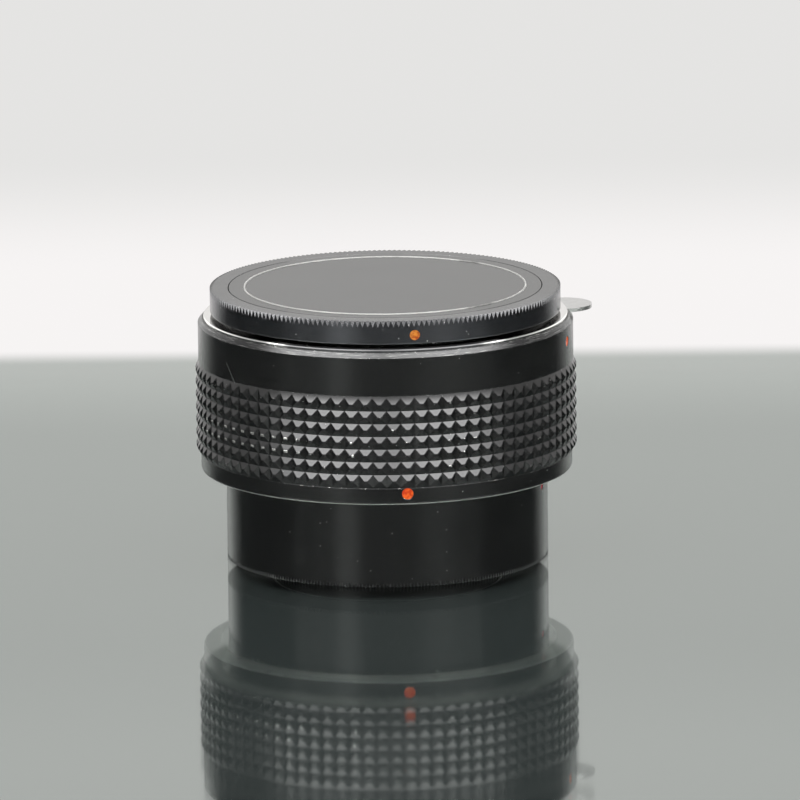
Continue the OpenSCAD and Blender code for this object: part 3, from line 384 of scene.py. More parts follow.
def diamond_grip():
    """Grip of blunt shallow pyramids in a ring that flares out from both bands of the barrel."""
    columns = 85
    rows = 7
    foot_h = 0.25
    shoulder_h = 0.35
    groove_share = 0.02
    crease_share = 0.01
    blunt_w_share = 0.24
    blunt_h_share = 0.1
    facet_angle = 12
    valley_r = grip_tip_r - grip_depth
    lowest_r = (valley_r + lower_band_r) / 2
    row_h = (grip_top_z - grip_foot_z - foot_h - shoulder_h) / rows
    base_z = grip_foot_z + foot_h
    pitch = 360 / columns
    grooves = (groove_share, 1 - groove_share)
    blunt = (0.5 - blunt_w_share / 2, 0.5 + blunt_w_share / 2)
    count = 2 * columns
    verts = []
    faces = []

    def ring_of(r, z, shares=grooves):
        first = len(verts)
        verts.extend(around((j + s) * pitch, r, z) for j in range(columns) for s in shares)
        return first

    def join(low, high):
        for j in range(count):
            k = (j + 1) % count
            faces.append((low + j, low + k, high + k, high + j))

    inner_low = ring_of(grip_seat_r, grip_foot_z)
    below = ring_of(lower_band_r, grip_foot_z)
    join(inner_low, below)
    for i in range(rows):
        low_share = crease_share if i > 0 else 0
        high_share = 1 - crease_share if i < rows - 1 else 1
        low = ring_of(valley_r if i > 0 else lowest_r, base_z + (i + low_share) * row_h)
        high = ring_of(valley_r, base_z + (i + high_share) * row_h)
        tip_low = ring_of(grip_tip_r, base_z + (i + 0.5 - blunt_h_share / 2) * row_h, blunt)
        tip_high = ring_of(grip_tip_r, base_z + (i + 0.5 + blunt_h_share / 2) * row_h, blunt)
        join(below, low)
        for j in range(columns):
            a = 2 * j
            b = a + 1
            c = (a + 2) % count
            faces.append((low + a, low + b, tip_low + b, tip_low + a))
            faces.append((tip_low + a, tip_low + b, tip_high + b, tip_high + a))
            faces.append((tip_high + a, tip_high + b, high + b, high + a))
            faces.append((low + a, tip_low + a, tip_high + a, high + a))
            faces.append((tip_low + b, low + b, high + b, tip_high + b))
            faces.append((low + b, low + c, high + c, high + b))
        below = high
    top = ring_of(barrel_r, grip_top_z)
    inner_top = ring_of(grip_seat_r, grip_top_z)
    join(below, top)
    join(top, inner_top)
    join(inner_top, inner_low)
    return make_object("diamond_grip", verts, faces, facet_angle)


def wall_circle(angle, r, z, radius):
    """Points of an upright circle that faces outwards, round the point at an angle, a radius and a height."""
    centre = Vector(around(angle, r, z))
    across = UP.cross(Vector(around(angle, 1, 0)))
    points = []
    for k in range(dot_sides):
        t = 2 * math.pi * k / dot_sides
        points.append(centre + (across * math.cos(t) + UP * math.sin(t)) * radius)
    return points


def dimpled(obj, angle, r, z, diameter):
    """The object with a round dimple for a dot of paint sunk into its wall."""
    above = 0.5
    verts = wall_circle(angle, r - dimple_depth, z, diameter / 2)
    verts += wall_circle(angle, r + above, z, diameter / 2)
    faces = [tuple(range(dot_sides)), tuple(range(dot_sides, 2 * dot_sides))]
    for k in range(dot_sides):
        m = (k + 1) % dot_sides
        faces.append((k, m, dot_sides + m, dot_sides + k))
    cutter = make_object("cutter", verts, faces)
    cut = obj.modifiers.new("Dimple", "BOOLEAN")
    cut.operation = "DIFFERENCE"
    cut.solver = "EXACT"
    cut.object = cutter
    bake(obj)
    smooth(obj.data, sharp_angle)
    bpy.data.objects.remove(cutter)
    return obj


def paint_dot(name, angle, r, z, diameter):
    """Paint in a dimple: a shallow dish that stands a little below the surface round it."""
    # Each ring of the dish: its share of the radius, and how far out of the wall it stands.
    dish = ((0.35, -0.145), (0.65, -0.13), (0.85, -0.1), (0.96, -0.07), (1.0, -0.09))
    middle = -0.15
    low = 0.01 - dimple_depth
    blunt_angle = 60
    reach = diameter / 2 - fit_gap
    verts = [Vector(around(angle, r + middle, z))]
    for share, depth in dish + ((1.0, low),):
        verts += wall_circle(angle, r + depth, z, reach * share)
    verts.append(Vector(around(angle, r + low, z)))
    last = len(verts) - 1
    count = len(dish)
    faces = []
    for k in range(dot_sides):
        m = (k + 1) % dot_sides
        faces.append((0, 1 + k, 1 + m))
        for i in range(count):
            a = 1 + i * dot_sides
            faces.append((a + k, a + dot_sides + k, a + dot_sides + m, a + m))
        foot = 1 + count * dot_sides
        faces.append((last, foot + m, foot + k))
    return make_object(name, verts, faces, blunt_angle)


def softened(node, name, width):
    """A copy of a CAD node with its edges rounded, to stand for it."""
    corner_angle = 35
    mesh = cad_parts[node].data.copy()
    mesh.name = name
    weld(mesh, join_flat_faces)
    smooth(mesh, corner_angle)
    mesh.materials.clear()
    obj = linked(name, mesh)
    bevel = obj.modifiers.new("Round", "BEVEL")
    bevel.width = width * MM
    bevel.segments = 2
    bevel.limit_method = "ANGLE"
    bevel.angle_limit = math.radians(corner_angle)
    bevel.use_clamp_overlap = True
    obj.modifiers.new("Flat faces", "WEIGHTED_NORMAL").keep_sharp = True
    bake(obj)
    return obj


# Materials


class Graph:
    """Nodes of a material or of the world. Most methods add nodes and give back their output."""

    def __init__(self, owner):
        owner.use_nodes = True
        self.owner = owner
        self.nodes = owner.node_tree.nodes
        self.links = owner.node_tree.links
        self.position = None

    def put(self, socket, value):
        """Links an output into a socket, or sets the socket to a value."""
        if isinstance(value, bpy.types.NodeSocket):
            self.links.new(value, socket)
        else:
            socket.default_value = value

    def add(self, kind, inputs, output=0, **settings):
        node = self.nodes.new(kind)
        for key, value in settings.items():
            setattr(node, key, value)
        for key, value in inputs.items():
            self.put(node.inputs[key], value)
        return node.outputs[output]

    def paint(self, **values):
        """Sets the shader's sockets, named with underscores for spaces, and gives back the material."""
        shader = self.nodes["Principled BSDF"]
        for key, value in values.items():
            self.put(shader.inputs[key.replace("_", " ")], value)
        return self.owner

    def show(self, shader):
        """Makes a shader the surface of the material."""
        self.put(self.nodes["Material Output"].inputs["Surface"], shader)

    def math(self, operation, a, b=0.0):
        return self.add("ShaderNodeMath", {0: a, 1: b}, operation=operation)

    def chain(self, operation, values):
        """One operation carried through all the values."""
        out = values[0]
        for value in values[1:]:
            out = self.math(operation, out, value)
        return out

    def times(self, *values):
        return self.chain("MULTIPLY", values)

    def plus(self, *values):
        return self.chain("ADD", values)

    def minus(self, *values):
        return self.chain("SUBTRACT", values)

    def most(self, *values):
        """The largest of the values."""
        return self.chain("MAXIMUM", values)

    def absolute(self, value):
        return self.math("ABSOLUTE", value)

    def rays(self):
        return self.nodes.new("ShaderNodeLightPath").outputs

    def place(self):
        """Position in metres."""
        if self.position is None:
            self.position = self.add("ShaderNodeTexCoord", {}, output="Object")
        return self.position

    def split(self, vector):
        node = self.nodes.new("ShaderNodeSeparateXYZ")
        self.links.new(vector, node.inputs[0])
        return node.outputs

    def join(self, x, y, z):
        return self.add("ShaderNodeCombineXYZ", {0: x, 1: y, 2: z})

    def azimuth(self, x, y):
        """Angle in degrees from the viewer's side."""
        return self.math("DEGREES", self.math("ARCTAN2", x, self.times(y, -1.0)))

    def polar(self):
        """Radius in millimetres, angle in degrees from the viewer's side, and height in millimetres."""
        x, y, z = self.split(self.place())
        r = self.math("SQRT", self.plus(self.times(x, x), self.times(y, y)))
        return (self.math("DIVIDE", r, MM), self.azimuth(x, y), self.math("DIVIDE", z, MM))

    def unrolled(self, stretch):
        """Radius, angle and height as lengths in metres. A degree counts as stretch millimetres."""
        r, angle, z = self.polar()
        return self.join(self.times(r, MM), self.times(angle, stretch * MM), self.times(z, MM))

    def noise(self, size, detail=2.0, vector=None, rough=0.5):
        """Noise whose lumps have a size in millimetres."""
        return self.add("ShaderNodeTexNoise",
                        {"Vector": vector or self.place(), "Scale": 1 / (size * MM), "Detail": detail,
                         "Roughness": rough})

    def step(self, value, low, high):
        """0 below low and 1 above high, smooth between them; low may be the larger."""
        return self.add("ShaderNodeMapRange", {"Value": value, "From Min": low, "From Max": high},
                        interpolation_type="SMOOTHSTEP")

    def scale(self, value, low, high):
        """Value from 0 to 1 spread from low to high."""
        return self.add("ShaderNodeMapRange", {"Value": value, "To Min": low, "To Max": high})

    def between(self, value, low, high, soft):
        """1 between two values, with soft sides."""
        return self.times(self.step(value, low - soft, low), self.step(value, high + soft, high))

    def mix(self, factor, a, b, **settings):
        """Colour between a and b. Inputs 6 and 7 and output 2 are the node's colour sockets."""
        return self.add("ShaderNodeMix", {0: factor, 6: a, 7: b}, 2, data_type="RGBA", **settings)

    def round(self, radius):
        """Normal with the sharp edges rounded. The radius is in millimetres."""
        return self.add("ShaderNodeBevel", {"Radius": radius * MM}, samples=6)

    def edge(self, radius):
        """1 on the model's sharp edges, 0 away from them. The radius is in millimetres."""
        straight = 0.995
        bent = 0.93
        plain = self.add("ShaderNodeNewGeometry", {}, output="Normal")
        same = self.add("ShaderNodeVectorMath", {0: self.round(radius), 1: plain}, output="Value",
                        operation="DOT_PRODUCT")
        return self.step(same, straight, bent)

    def worn(self, radius, size, low, high):
        """1 where a sharp edge is worn bare: noise of a size in millimetres picks the places."""
        return self.times(self.edge(radius), self.step(self.noise(size, detail=4.0), low, high))

    def specks(self, size, share):
        """Scattered dust grains of a size in millimetres, on a share of the cells."""
        grains_across_cell = 5
        sharpness = 0.001
        grain_reach = 0.2
        grain_core = 0.1
        node = self.nodes.new("ShaderNodeTexVoronoi")
        self.links.new(self.place(), node.inputs["Vector"])
        node.inputs["Scale"].default_value = 1 / (size * grains_across_cell * MM)
        chosen = self.step(self.split(node.outputs["Color"])[0], 1 - share, 1 - share + sharpness)
        return self.times(self.step(node.outputs["Distance"], grain_reach, grain_core), chosen)

    def dusty(self, value, low, high, specks):
        """Roughness from low to high by a value, and higher on the specks."""
        added = 0.4
        return self.plus(self.scale(value, low, high), self.times(specks, added))

    def bump(self, height, distance, normal=None):
        """Bump of a distance in millimetres, over another normal if there is one."""
        inputs = {"Height": height, "Distance": distance * MM, "Strength": 1.0}
        if normal is not None:
            inputs["Normal"] = normal
        return self.add("ShaderNodeBump", inputs)

    def turned_lines(self, pitch=0.12):
        """Fine lines that a lathe leaves, the same all round the axis."""
        stretch = 0.005
        return self.noise(pitch, detail=1.0, vector=self.unrolled(stretch))


def new_finish(name):
    return Graph(bpy.data.materials.new(name))


def colour(r, g, b):
    return (r, g, b, 1.0)


BLACK = colour(0.0025, 0.0025, 0.0028)
SOOT = colour(0.0045, 0.0043, 0.004)
DUST = colour(0.7, 0.7, 0.68)
BARE = colour(0.62, 0.61, 0.59)

# How metallic a worn spot is.
BARE_METAL = 0.9


def long_scratch(g, angle, z):
    """One thin slanting scratch on the barrel's left, broken here and there."""
    top_angle = -57.2
    top_z = 37.5
    low_z = 34.4
    degrees_per_mm = -1.46
    half_w = 0.15
    core = 0.05
    lean = g.times(g.minus(z, top_z), degrees_per_mm)
    line = g.absolute(g.minus(angle, top_angle, lean))
    unbroken = g.step(g.noise(size=0.5), 0.25, 0.45)
    return g.times(g.step(line, half_w, core), g.between(z, low_z, top_z, soft=0.3), unbroken)


def barrel_black():
    """Black anodised barrel: fine grain, worn edges, a bright line under the foot and one long scratch."""
    g = new_finish("barrel_black")
    foot_line_h = 0.2
    overrun = 0.1
    angle, z = g.polar()[1:]
    grain = g.noise(size=0.09, detail=3.0)
    specks = g.specks(size=0.07, share=0.006)
    base = g.mix(specks, g.mix(g.noise(size=7.0), BLACK, SOOT), DUST)
    worn = g.worn(radius=0.1, size=0.7, low=0.54, high=0.66)
    # A pale, less metallic line painted round the foot, joined below with the worn edges' mask.
    foot = g.between(z, barrel_foot_z - overrun, barrel_foot_z + foot_line_h, soft=0.06)
    foot = g.times(foot, g.step(g.noise(size=2.5, detail=3.0), 0.15, 0.4))
    chamfer = g.between(z, barrel_top_z - chamfer_h, barrel_top_z + overrun, soft=0.03)
    by_height = g.join(0.0, 0.0, g.times(z, MM))
    turned = g.times(chamfer, g.noise(size=0.28, detail=1.0, vector=by_height))
    rubs = g.noise(size=0.16, detail=3.0, vector=g.unrolled(stretch=0.03))
    rubbed = g.times(chamfer, 0.3, g.step(rubs, 0.5, 0.75))
    bare = g.most(worn, foot, rubbed, long_scratch(g, angle, z))
    metallic = g.minus(g.times(bare, BARE_METAL), g.times(foot, 0.6))
    surface = g.bump(g.turned_lines(), 0.0008, g.round(radius=0.16))
    surface = g.bump(turned, 0.05, g.bump(grain, 0.0012, surface))
    return g.paint(Base_Color=g.mix(bare, base, BARE), Metallic=metallic,
                   Roughness=g.dusty(grain, 0.17, 0.24, specks), Normal=surface)


def grip_black():
    """The same black on the grip, with a coarser grain and some tips that hands have rubbed."""
    g = new_finish("grip_black")
    left_low_angle = -74
    left_high_angle = -30
    rows_low_z = grip_foot_z + 4.9
    rows_high_z = grip_foot_z + 9.1
    middle_low_z = grip_foot_z + 4.5
    middle_high_z = grip_foot_z + 10
    r, angle, z = g.polar()
    grain = g.noise(size=0.1, detail=4.0, rough=0.7)
    tip = g.step(r, grip_tip_r - 0.05, grip_tip_r - 0.01)
    middle = g.between(z, middle_low_z, middle_high_z, soft=1.5)
    some = g.times(g.step(g.noise(size=0.8), 0.66, 0.7), g.scale(middle, 0.3, 1.0))
    left = g.between(angle, left_low_angle, left_high_angle, soft=8.0)
    rows = g.between(z, rows_low_z, rows_high_z, soft=0.5)
    rubbed = g.times(left, rows, 0.9, g.step(g.noise(size=0.35), 0.42, 0.5))
    worn = g.times(tip, g.most(some, rubbed))
    base = g.mix(worn, g.mix(g.noise(size=4.0), BLACK, SOOT), BARE)
    return g.paint(Base_Color=g.mix(g.specks(size=0.055, share=0.008), base, DUST),
                   Metallic=g.times(worn, BARE_METAL), Roughness=g.scale(grain, 0.17, 0.27),
                   Normal=g.bump(grain, 0.003))


def cap_black(name, wall_r, notches, cut, roughness, ior, lines, polished):
    """Glossy black of a cap, with dust and chipped edges.

    The milled notches, between two heights, are paler by cut on the photographed side, where the light
    catches them, and by a share of it elsewhere. A polished wall is metallic.
    """
    g = new_finish(name)
    polished_tone = colour(0.094, 0.094, 0.102)
    milled_and_highlight_tone = colour(0.24, 0.24, 0.245)
    skin = 0.02
    side_share = 0.2
    r, angle, z = g.polar()
    haze = g.noise(size=3.0, detail=3.0)
    grain = g.noise(size=0.12)
    worn = g.worn(radius=0.08, size=0.9, low=0.64, high=0.72)
    # Painted highlight: the notches are paler on the viewer's side, fading to a fifth of that elsewhere.
    front = g.scale(g.step(g.absolute(angle), 78, 56), side_share * cut, cut)
    milled = g.times(g.between(z, *notches, soft=0.03), g.step(r, wall_r - skin, wall_r - 0.05))
    milled = g.times(milled, front, g.scale(g.noise(size=0.5, detail=3.0), 0.3, 1.0))
    specks = g.specks(size=0.075, share=0.01)
    wall = g.times(g.step(r, wall_r - skin, wall_r - 0.005), polished)
    base = g.mix(wall, g.mix(haze, BLACK, SOOT), polished_tone)
    base = g.mix(milled, base, milled_and_highlight_tone)
    return g.paint(Base_Color=g.mix(specks, g.mix(worn, base, BARE), DUST),
                   Metallic=g.most(g.times(worn, BARE_METAL), milled, wall),
                   Roughness=g.dusty(haze, roughness, roughness + 0.07, specks), IOR=ior,
                   Normal=g.bump(grain, 0.0008, g.bump(g.turned_lines(pitch=0.03), lines)))


def front_cap_black():
    """Black of the front cap, whose notches are bright in front and whose wall is polished."""
    margin = 0.02
    notches = (disc_top_z - front_notch_h + margin, disc_top_z - margin)
    return cap_black("front_cap_black", cap_r, notches, cut=1.0, roughness=0.17, ior=1.65, lines=0.0018,
                     polished=1.0)


def rear_cap_black():
    """Black of the rear cap, glossier and with duller notches."""
    foot_margin = 0.05
    margin = 0.02
    notches = (foot_margin, rear_notch_h - margin)
    return cap_black("rear_cap_black", rear_cap_r, notches, cut=0.4, roughness=0.12, ior=1.55, lines=0.0003,
                     polished=0.0)


def disc_black():
    """Smooth satin black of the discs in the caps, with a slight green cast."""
    g = new_finish("disc_black")
    haze = g.noise(size=9.0, detail=3.0)
    base = g.mix(haze, colour(0.011, 0.012, 0.0105), colour(0.018, 0.0185, 0.016))
    return g.paint(Base_Color=g.mix(g.specks(size=0.06, share=0.006), base, DUST),
                   Roughness=g.scale(haze, 0.19, 0.23), IOR=1.53, Normal=g.bump(g.noise(size=0.3), 0.0006))


def bright_paint():
    """Silvery paint on the caps' rings, dulled in two places."""
    g = new_finish("bright_ring")
    angle = g.polar()[1]
    dull = g.most(g.between(angle, 37, 47, soft=4.0), g.between(angle, 139, 146, soft=3.0))
    gone = g.times(dull, g.scale(g.noise(size=0.7, detail=3.0), 0.35, 0.75))
    silver = g.mix(g.noise(size=1.8, detail=3.0), colour(0.72, 0.71, 0.68), colour(0.5, 0.5, 0.48))
    return g.paint(Base_Color=g.mix(gone, silver, SOOT), Roughness=0.36,
                   Normal=g.bump(g.noise(size=0.15, detail=3.0), 0.003))


def mount_chrome():
    """Turned and chromed brass of the mounts.

    The flange's lip has painted shade on the viewer's side, as dark as it looks there. Why it looks dark isn't
    known.
    """
    g = new_finish("mount_chrome")
    r, angle, z = g.polar()
    soft = 0.1
    clean_tone = colour(0.86, 0.85, 0.83)
    hazy_tone = colour(0.76, 0.75, 0.73)
    marked_tone = colour(0.5, 0.48, 0.45)
    lip_painted_shade_tone = colour(0.06, 0.06, 0.062)
    haze = g.noise(size=2.0, detail=4.0)
    marks = g.step(g.noise(size=0.5, detail=5.0, rough=0.7), 0.64, 0.74)
    lip_low_z = flange_z - flange_lip_t
    lip = g.times(g.step(z, lip_low_z - soft, lip_low_z), g.step(r, flange_lip_in_r - soft, flange_lip_in_r))
    ragged = g.plus(g.absolute(angle), g.scale(g.noise(size=1.5, detail=4.0), -4.0, 4.0))
    # Painted shade on the lip, on the viewer's side, with a ragged edge.
    lip_painted_shade = g.times(lip, g.step(ragged, 41, 30))
    tone = g.mix(marks, g.mix(haze, clean_tone, hazy_tone), marked_tone)
    return g.paint(Base_Color=g.mix(lip_painted_shade, tone, lip_painted_shade_tone),
                   Metallic=g.minus(1.0, g.times(lip_painted_shade, 0.75)), Roughness=g.scale(haze, 0.07, 0.13),
                   Normal=g.bump(g.turned_lines(pitch=0.07), 0.0005))


def lever_steel():
    """Brushed nickel on the release lever, with its strokes along x."""
    g = new_finish("lever_steel")
    stroke_share = 0.06
    x, y, z = g.split(g.place())
    brushed = g.noise(size=0.08, detail=3.0, vector=g.join(g.times(x, stroke_share), y, z))
    tone = g.mix(g.noise(size=1.8, detail=3.0), colour(0.66, 0.66, 0.65), colour(0.56, 0.56, 0.55))
    return g.paint(Base_Color=tone, Metallic=1.0, Roughness=g.scale(brushed, 0.22, 0.36),
                   Normal=g.bump(brushed, 0.0015))


def metal(name, tone, roughness):
    """Plain machined metal with fine lines, for what shows only when the caps are off."""
    g = new_finish(name)
    dark_share = 0.72
    haze = g.noise(size=1.5, detail=3.0)
    dark = colour(*[dark_share * c for c in tone[:3]])
    return g.paint(Base_Color=g.mix(g.scale(haze, 0.0, 0.7), tone, dark), Metallic=1.0,
                   Roughness=g.scale(haze, roughness * 0.8, roughness * 1.3),
                   Normal=g.bump(g.turned_lines(pitch=0.1), 0.0015))


def inner_black():
    """Matt black paint inside, with a rough tooth that kills reflections."""
    g = new_finish("inner_black")
    tooth = g.noise(size=0.12, detail=4.0, rough=0.7)
    worn = g.worn(radius=0.1, size=0.6, low=0.58, high=0.66)
    base = g.mix(g.noise(size=3.0), colour(0.010, 0.010, 0.011), colour(0.02, 0.02, 0.02))
    return g.paint(Base_Color=g.mix(worn, base, BARE), Metallic=g.times(worn, 0.8),
                   Roughness=g.scale(tooth, 0.55, 0.75), Normal=g.bump(tooth, 0.004))


def coated_glass():
    """Optical glass with a coating that gives its reflections a violet tint."""
    g = new_finish("glass_coated")
    smear = g.noise(size=2.5, detail=3.0)
    return g.paint(Base_Color=g.mix(smear, colour(0.95, 0.97, 0.96), colour(0.9, 0.94, 0.95)),
                   Roughness=g.scale(smear, 0.0, 0.02), Transmission_Weight=1.0, IOR=1.6,
                   Specular_Tint=colour(0.62, 0.5, 1.0))


def dot_paint(name, deep, light):
    """Glossy paint pooled in a dimple, lighter where it is thick."""
    g = new_finish(name)
    pool = g.noise(size=0.6, detail=3.0)
    return g.paint(Base_Color=g.mix(g.step(pool, 0.35, 0.65), deep, light), Roughness=0.15,
                   Specular_IOR_Level=0.3, Normal=g.bump(pool, 0.03))


# The object's pieces


def dress(mat, *nodes):
    """Gives CAD nodes a finish in their own material slots."""
    for node in nodes:
        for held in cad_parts[node].material_slots:
            held.material = mat


def dress_nodes():
    """Finishes of the CAD nodes that no piece of the scene stands for."""
    dress(barrel_black(), "outer_barrel")
    dress(mount_chrome(), "front_mount", "rear_mount")
    dress(inner_black(), "inner_frame", "lens_cell", "front_spacer", "rear_spacer", "front_retaining_ring",
          "rear_retaining_ring", "rear_mask")
    dress(coated_glass(), "front_element", "second_element", "third_element", "rear_element")
    dress(metal("screw_steel", colour(0.6, 0.6, 0.6), 0.25),
          "front_mount_screws", "rear_mount_screws", "frame_screws", "lock_pin")
    dress(metal("spring_steel", colour(0.55, 0.55, 0.57), 0.3),
          "release_spring", "lock_pin_spring", "diaphragm_spring", "aperture_spring", "coupling_retainer")
    dress(metal("spring_bronze", colour(0.62, 0.46, 0.24), 0.3), "lug_spring")
    dress(metal("coupling_brass", colour(0.68, 0.52, 0.26), 0.3), "diaphragm_ring")
    dress(metal("coupling_aluminium", colour(0.68, 0.68, 0.67), 0.32), "aperture_ring")


def place_grip_and_caps():
    place(diamond_grip(), "converter", "grip_rubber", grip_black(), "grip_ring")
    place(front_cap_rim(), "front_cap", "cap_black", front_cap_black(), "front_cap_rim")
    place(rear_cap_shell(), "rear_cap", "cap_black", rear_cap_black(), "rear_cap_shell")
    disc = disc_black()
    silver = bright_paint()
    place(front_cap_disc(), "front_cap_plate", "cap_disc_black", disc, "front_cap_disc")
    place(front_cap_ring(), "front_cap_plate", "bright_ring", silver, "front_cap_ring")
    place(rear_cap_disc(), "rear_cap_plate", "cap_disc_black", disc, "rear_cap_disc")
    place(rear_cap_ring(), "rear_cap_plate", "bright_ring", silver, "rear_cap_ring")


def place_lever():
    lever_round = 0.12
    lever = softened("release_lever", "brushed_release_lever", lever_round)
    place(lever, "release_lever", "lever_steel", lever_steel(), "release_lever")


def place_dots():
    orange = dot_paint("dot_orange", colour(0.62, 0.035, 0.002), colour(0.86, 0.13, 0.01))
    amber = dot_paint("dot_amber", colour(0.36, 0.04, 0.002), colour(0.7, 0.25, 0.03))
    crimson = dot_paint("dot_red", colour(0.3, 0.006, 0.015), colour(0.5, 0.02, 0.04))
    place(paint_dot("front_index_paint", front_dot_angle, barrel_r, front_dot_z, front_dot_d),
          "converter", "dot_orange", orange, "front_index_dot")
    place(paint_dot("rear_index_paint", rear_dot_angle, lower_band_r, rear_dot_z, rear_dot_d),
          "converter", "dot_orange", orange, "rear_index_dot")
    place(paint_dot("front_cap_index_paint", front_cap_dot_angle, cap_r, front_cap_dot_z, front_dot_d),
          "front_cap", "dot_orange", amber, "front_cap_dot")
    place(paint_dot("rear_cap_index_paint", rear_cap_dot_angle, rear_cap_r, rear_cap_dot_z, rear_cap_dot_d),
          "rear_cap", "dot_red", crimson, "rear_cap_dot")


# Stage, light and camera, with places in metres

backdrop_near = colour(0.925, 0.905, 0.90)
backdrop_far = colour(0.78, 0.775, 0.765)


def floor_sheet(name, z):
    """A square sheet of the stage at a height in millimetres. Gives back the graph of its material."""
    half = 6000
    corners = ((-1, -1), (1, -1), (1, 1), (-1, 1))
    sheet = make_object(name, [(x * half, y * half, z) for x, y in corners], [(0, 1, 2, 3)])
    g = new_finish(name)
    sheet.data.materials.append(g.owner)
    return g


def mirrored(g, surface, roughness, strength):
    """A surface with a greenish mirror over it, which shows from above and more at a grazing angle."""
    green_glass = colour(0.955, 1.0, 0.965)
    mirror = g.add("ShaderNodeBsdfAnisotropic", {"Color": green_glass, "Roughness": roughness})
    above = g.minus(1.0, g.add("ShaderNodeNewGeometry", {}, output="Backfacing"))
    share = g.times(g.add("ShaderNodeFresnel", {"IOR": 1.5}), strength, above)
    return g.add("ShaderNodeMixShader", {0: share, 1: surface, 2: mirror})


def make_floor_top():
    """Upper face of the dark glass, which mirrors the room, and a pale backdrop that starts behind it."""
    sunk = 0.02
    edge_y = 0.164
    edge_soft = 0.007
    mirror_fade = (0.09, 0.165)
    mirror_strengths = (0.78, 1.15)
    tone_fade = (0.24, 0.36)
    g = floor_sheet("studio_floor", -sunk)
    y = g.split(g.place())[1]
    strength = g.scale(g.step(y, *mirror_fade), *mirror_strengths)
    glass = mirrored(g, g.add("ShaderNodeBsdfTransparent", {}), roughness=0.03, strength=strength)
    # Painted light falloff: the backdrop glows paler near the object and darker farther off.
    tone = g.mix(g.step(y, *tone_fade), backdrop_near, backdrop_far)
    backdrop = g.add("ShaderNodeEmission", {"Color": tone, "Strength": 1.0})
    rays = g.rays()
    seen = g.most(rays["Is Camera Ray"], rays["Is Glossy Ray"], rays["Is Transmission Ray"])
    beyond = g.times(g.step(y, edge_y - edge_soft, edge_y + edge_soft), seen)
    g.show(g.add("ShaderNodeMixShader", {0: beyond, 1: glass, 2: backdrop}))


def make_floor_back():
    """Lower face of the glass, which is dark and mirrors the room a second time."""
    glass_t = 2.1
    mirror_fade = (-0.05, -0.15)
    mirror_strengths = (0.82, 1.0)
    g = floor_sheet("studio_floor_back", -glass_t)
    y = g.split(g.place())[1]
    g.paint(Base_Color=colour(0.046, 0.057, 0.055), Roughness=0.9, Specular_IOR_Level=0.0)
    dark = g.nodes["Principled BSDF"].outputs[0]
    strength = g.scale(g.step(y, *mirror_fade), *mirror_strengths)
    g.show(mirrored(g, dark, roughness=0.06, strength=strength))


def along(w, way, a, b):
    """Share of a direction along (0, a, b)."""
    return w.plus(w.times(way[1], a), w.times(way[2], b))


def softbox_glow(w, way):
    """Softboxes in one plane that is tilted towards the object, with a gap for the camera between them."""
    facing = (-0.735, 0.678)
    upward = (0.678, 0.735)
    least = 0.02
    side_fade = (2.4, 0.72)
    taper_fade = (-0.1, -0.32)
    taper_w = 0.9
    foot_fade = (-0.46, -0.2)
    top_fade = (2.5, 1.9)
    plane_fade = (0.03, 0.15)
    gap_fade = (0.22, 0.04)
    gap_glow = 0.58
    height_fade = (-0.1, 0.6)
    low_glow = 10.0
    high_glow = 8.0
    ahead = w.most(along(w, way, *facing), least)
    across = w.math("DIVIDE", w.absolute(way[0]), ahead)
    up = w.math("DIVIDE", along(w, way, *upward), ahead)
    taper = w.times(w.step(up, *taper_fade), taper_w)
    softbox = w.times(w.step(w.plus(across, taper), *side_fade), w.step(up, *foot_fade),
                      w.step(up, *top_fade), w.step(ahead, *plane_fade))
    gap = w.scale(w.step(across, *gap_fade), 1.0, gap_glow)
    return w.times(softbox, gap, w.scale(w.step(up, *height_fade), low_glow, high_glow))


def room_glow(w, way):
    """The rest of the room: dim low down, but for a paler stretch on either side of the camera."""
    low_fade = (0.42, 0.2)
    high_fade = (0.2, 0.45)
    darkest = 0.02
    front_fade = (82.0, 32.0)
    front_glow = 0.27
    left_angle = -29.0
    left_reach = 15.0
    left_glow = 1.3
    right_angle = 36.0
    right_reach = 24.0
    right_glow = 0.45
    high_glow = 0.55
    x, y, z = way
    azimuth = w.azimuth(x, y)
    front = w.times(w.step(w.absolute(azimuth), *front_fade), front_glow)
    left = w.times(w.step(w.absolute(w.minus(azimuth, left_angle)), left_reach, 0.0), left_glow)
    right = w.times(w.step(w.absolute(w.minus(azimuth, right_angle)), right_reach, 0.0), right_glow)
    low = w.times(w.plus(darkest, front, left, right), w.step(z, *low_fade))
    return w.plus(low, w.times(w.step(z, *high_fade), high_glow))


def backdrop_share(w, way):
    """1 towards the backdrop behind the object, 0 away from it."""
    foot_fade = (0.7, 1.04)
    top_fade = (0.95, 0.6)
    return w.times(w.step(along(w, way, 1.0, 0.5), *foot_fade), w.step(way[2], *top_fade))


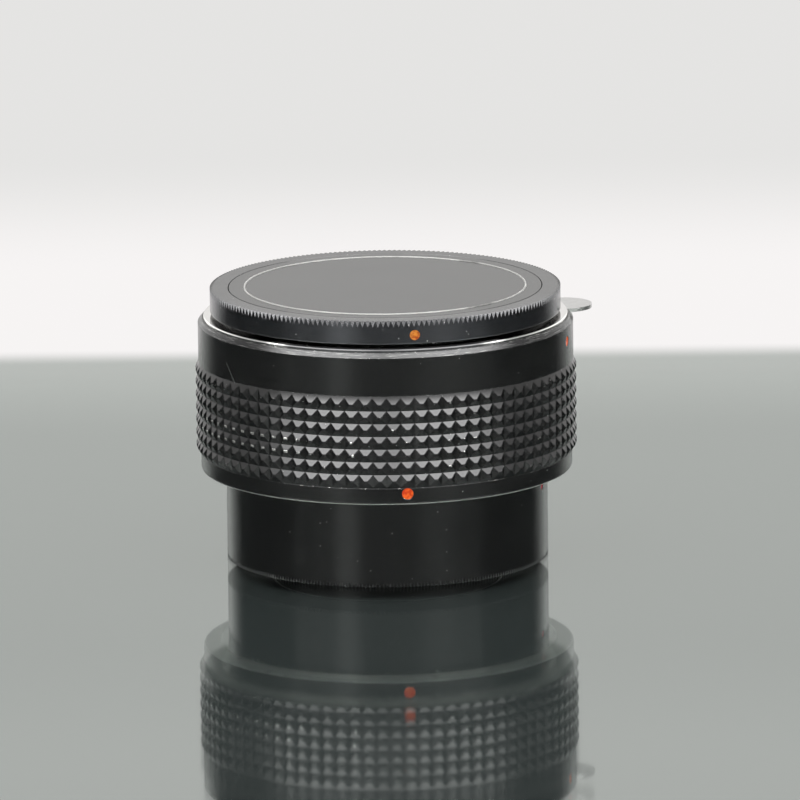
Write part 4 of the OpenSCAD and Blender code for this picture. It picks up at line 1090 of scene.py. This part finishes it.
def make_world():
    """Even light all round. Reflections see a white backdrop behind and a pair of softboxes in front."""
    even_light = colour(0.36, 0.365, 0.37)
    backdrop_middle = colour(0.91, 0.90, 0.89)
    backdrop_side = colour(1.5, 1.5, 1.48)
    side_fade = (0.2, 0.42)
    horizon_tone = backdrop_middle
    horizon_fade = (0.62, 0.42)
    direct_depth = 2.5
    world = bpy.data.worlds.new("studio")
    bpy.context.scene.world = world
    w = Graph(world)
    way = w.split(w.add("ShaderNodeTexCoord", {}, output="Generated"))
    brightness = w.plus(room_glow(w, way), softbox_glow(w, way))
    front = w.add("ShaderNodeVectorMath", {0: (1.0, 1.0, 1.0), "Scale": brightness}, operation="SCALE")
    backdrop = w.mix(w.step(w.absolute(way[0]), *side_fade), backdrop_middle, backdrop_side)
    seen = w.mix(backdrop_share(w, way), front, backdrop)

    # What mirrors the room directly, such as the floor, sees it pale all round near the horizon.
    rays = w.rays()
    direct = w.math("LESS_THAN", rays["Ray Depth"], direct_depth)
    horizon = w.times(direct, w.step(way[2], *horizon_fade))
    seen = w.mix(horizon, seen, horizon_tone, blend_type="LIGHTEN")
    mirrored_ray = w.most(rays["Is Glossy Ray"], rays["Is Transmission Ray"])
    light = w.mix(mirrored_ray, even_light, seen)
    w.put(w.nodes["Background"].inputs["Color"], w.mix(rays["Is Camera Ray"], light, backdrop_far))


def soft_light(name, centre, aim, width, depth, radiance):
    """Rectangular softbox with a given radiance. Reflections see the ones in the world instead."""
    light = bpy.data.lights.new(name, "AREA")
    light.shape = "RECTANGLE"
    light.size = width
    light.size_y = depth
    light.energy = radiance * math.pi * width * depth
    lamp = linked(name, light)
    lamp.location = centre
    lamp.rotation_euler = (Vector(aim) - Vector(centre)).to_track_quat("-Z", "Y").to_euler()
    lamp.visible_glossy = False
    lamp.visible_transmission = False


def make_camera():
    """Long lens at the photograph's angle, with the photograph's slight roll."""
    elevation = math.radians(12.386)
    distance = 2.1788
    aim_z = 0.025
    image_px = 800
    focal_px = 12528
    aim_px = (386.4, 411.4)
    roll = math.radians(0.636)
    camera = bpy.data.cameras.new("camera")
    camera.sensor_width = 36
    camera.lens = focal_px * camera.sensor_width / image_px
    camera.shift_x = (image_px / 2 - aim_px[0]) / image_px
    camera.shift_y = (aim_px[1] - image_px / 2) / image_px
    camera.clip_start = 0.1
    camera.clip_end = 50
    holder = linked("camera", camera)
    holder.location = (0, -distance * math.cos(elevation), aim_z + distance * math.sin(elevation))
    tilt = Matrix.Rotation(math.radians(90) - elevation, 4, "X")
    holder.rotation_euler = (tilt @ Matrix.Rotation(-roll, 4, "Z")).to_euler()
    bpy.context.scene.camera = holder


bpy.context.scene.view_settings.view_transform = "Standard"
make_camera()
make_floor_top()
make_floor_back()
make_world()
soft_light("overhead_softbox", centre=(0, -0.6, 1.15), aim=(0, -0.3, 0), width=1.85, depth=1.6, radiance=1.6)
dress_nodes()
place_grip_and_caps()
place_lever()
place_dots()
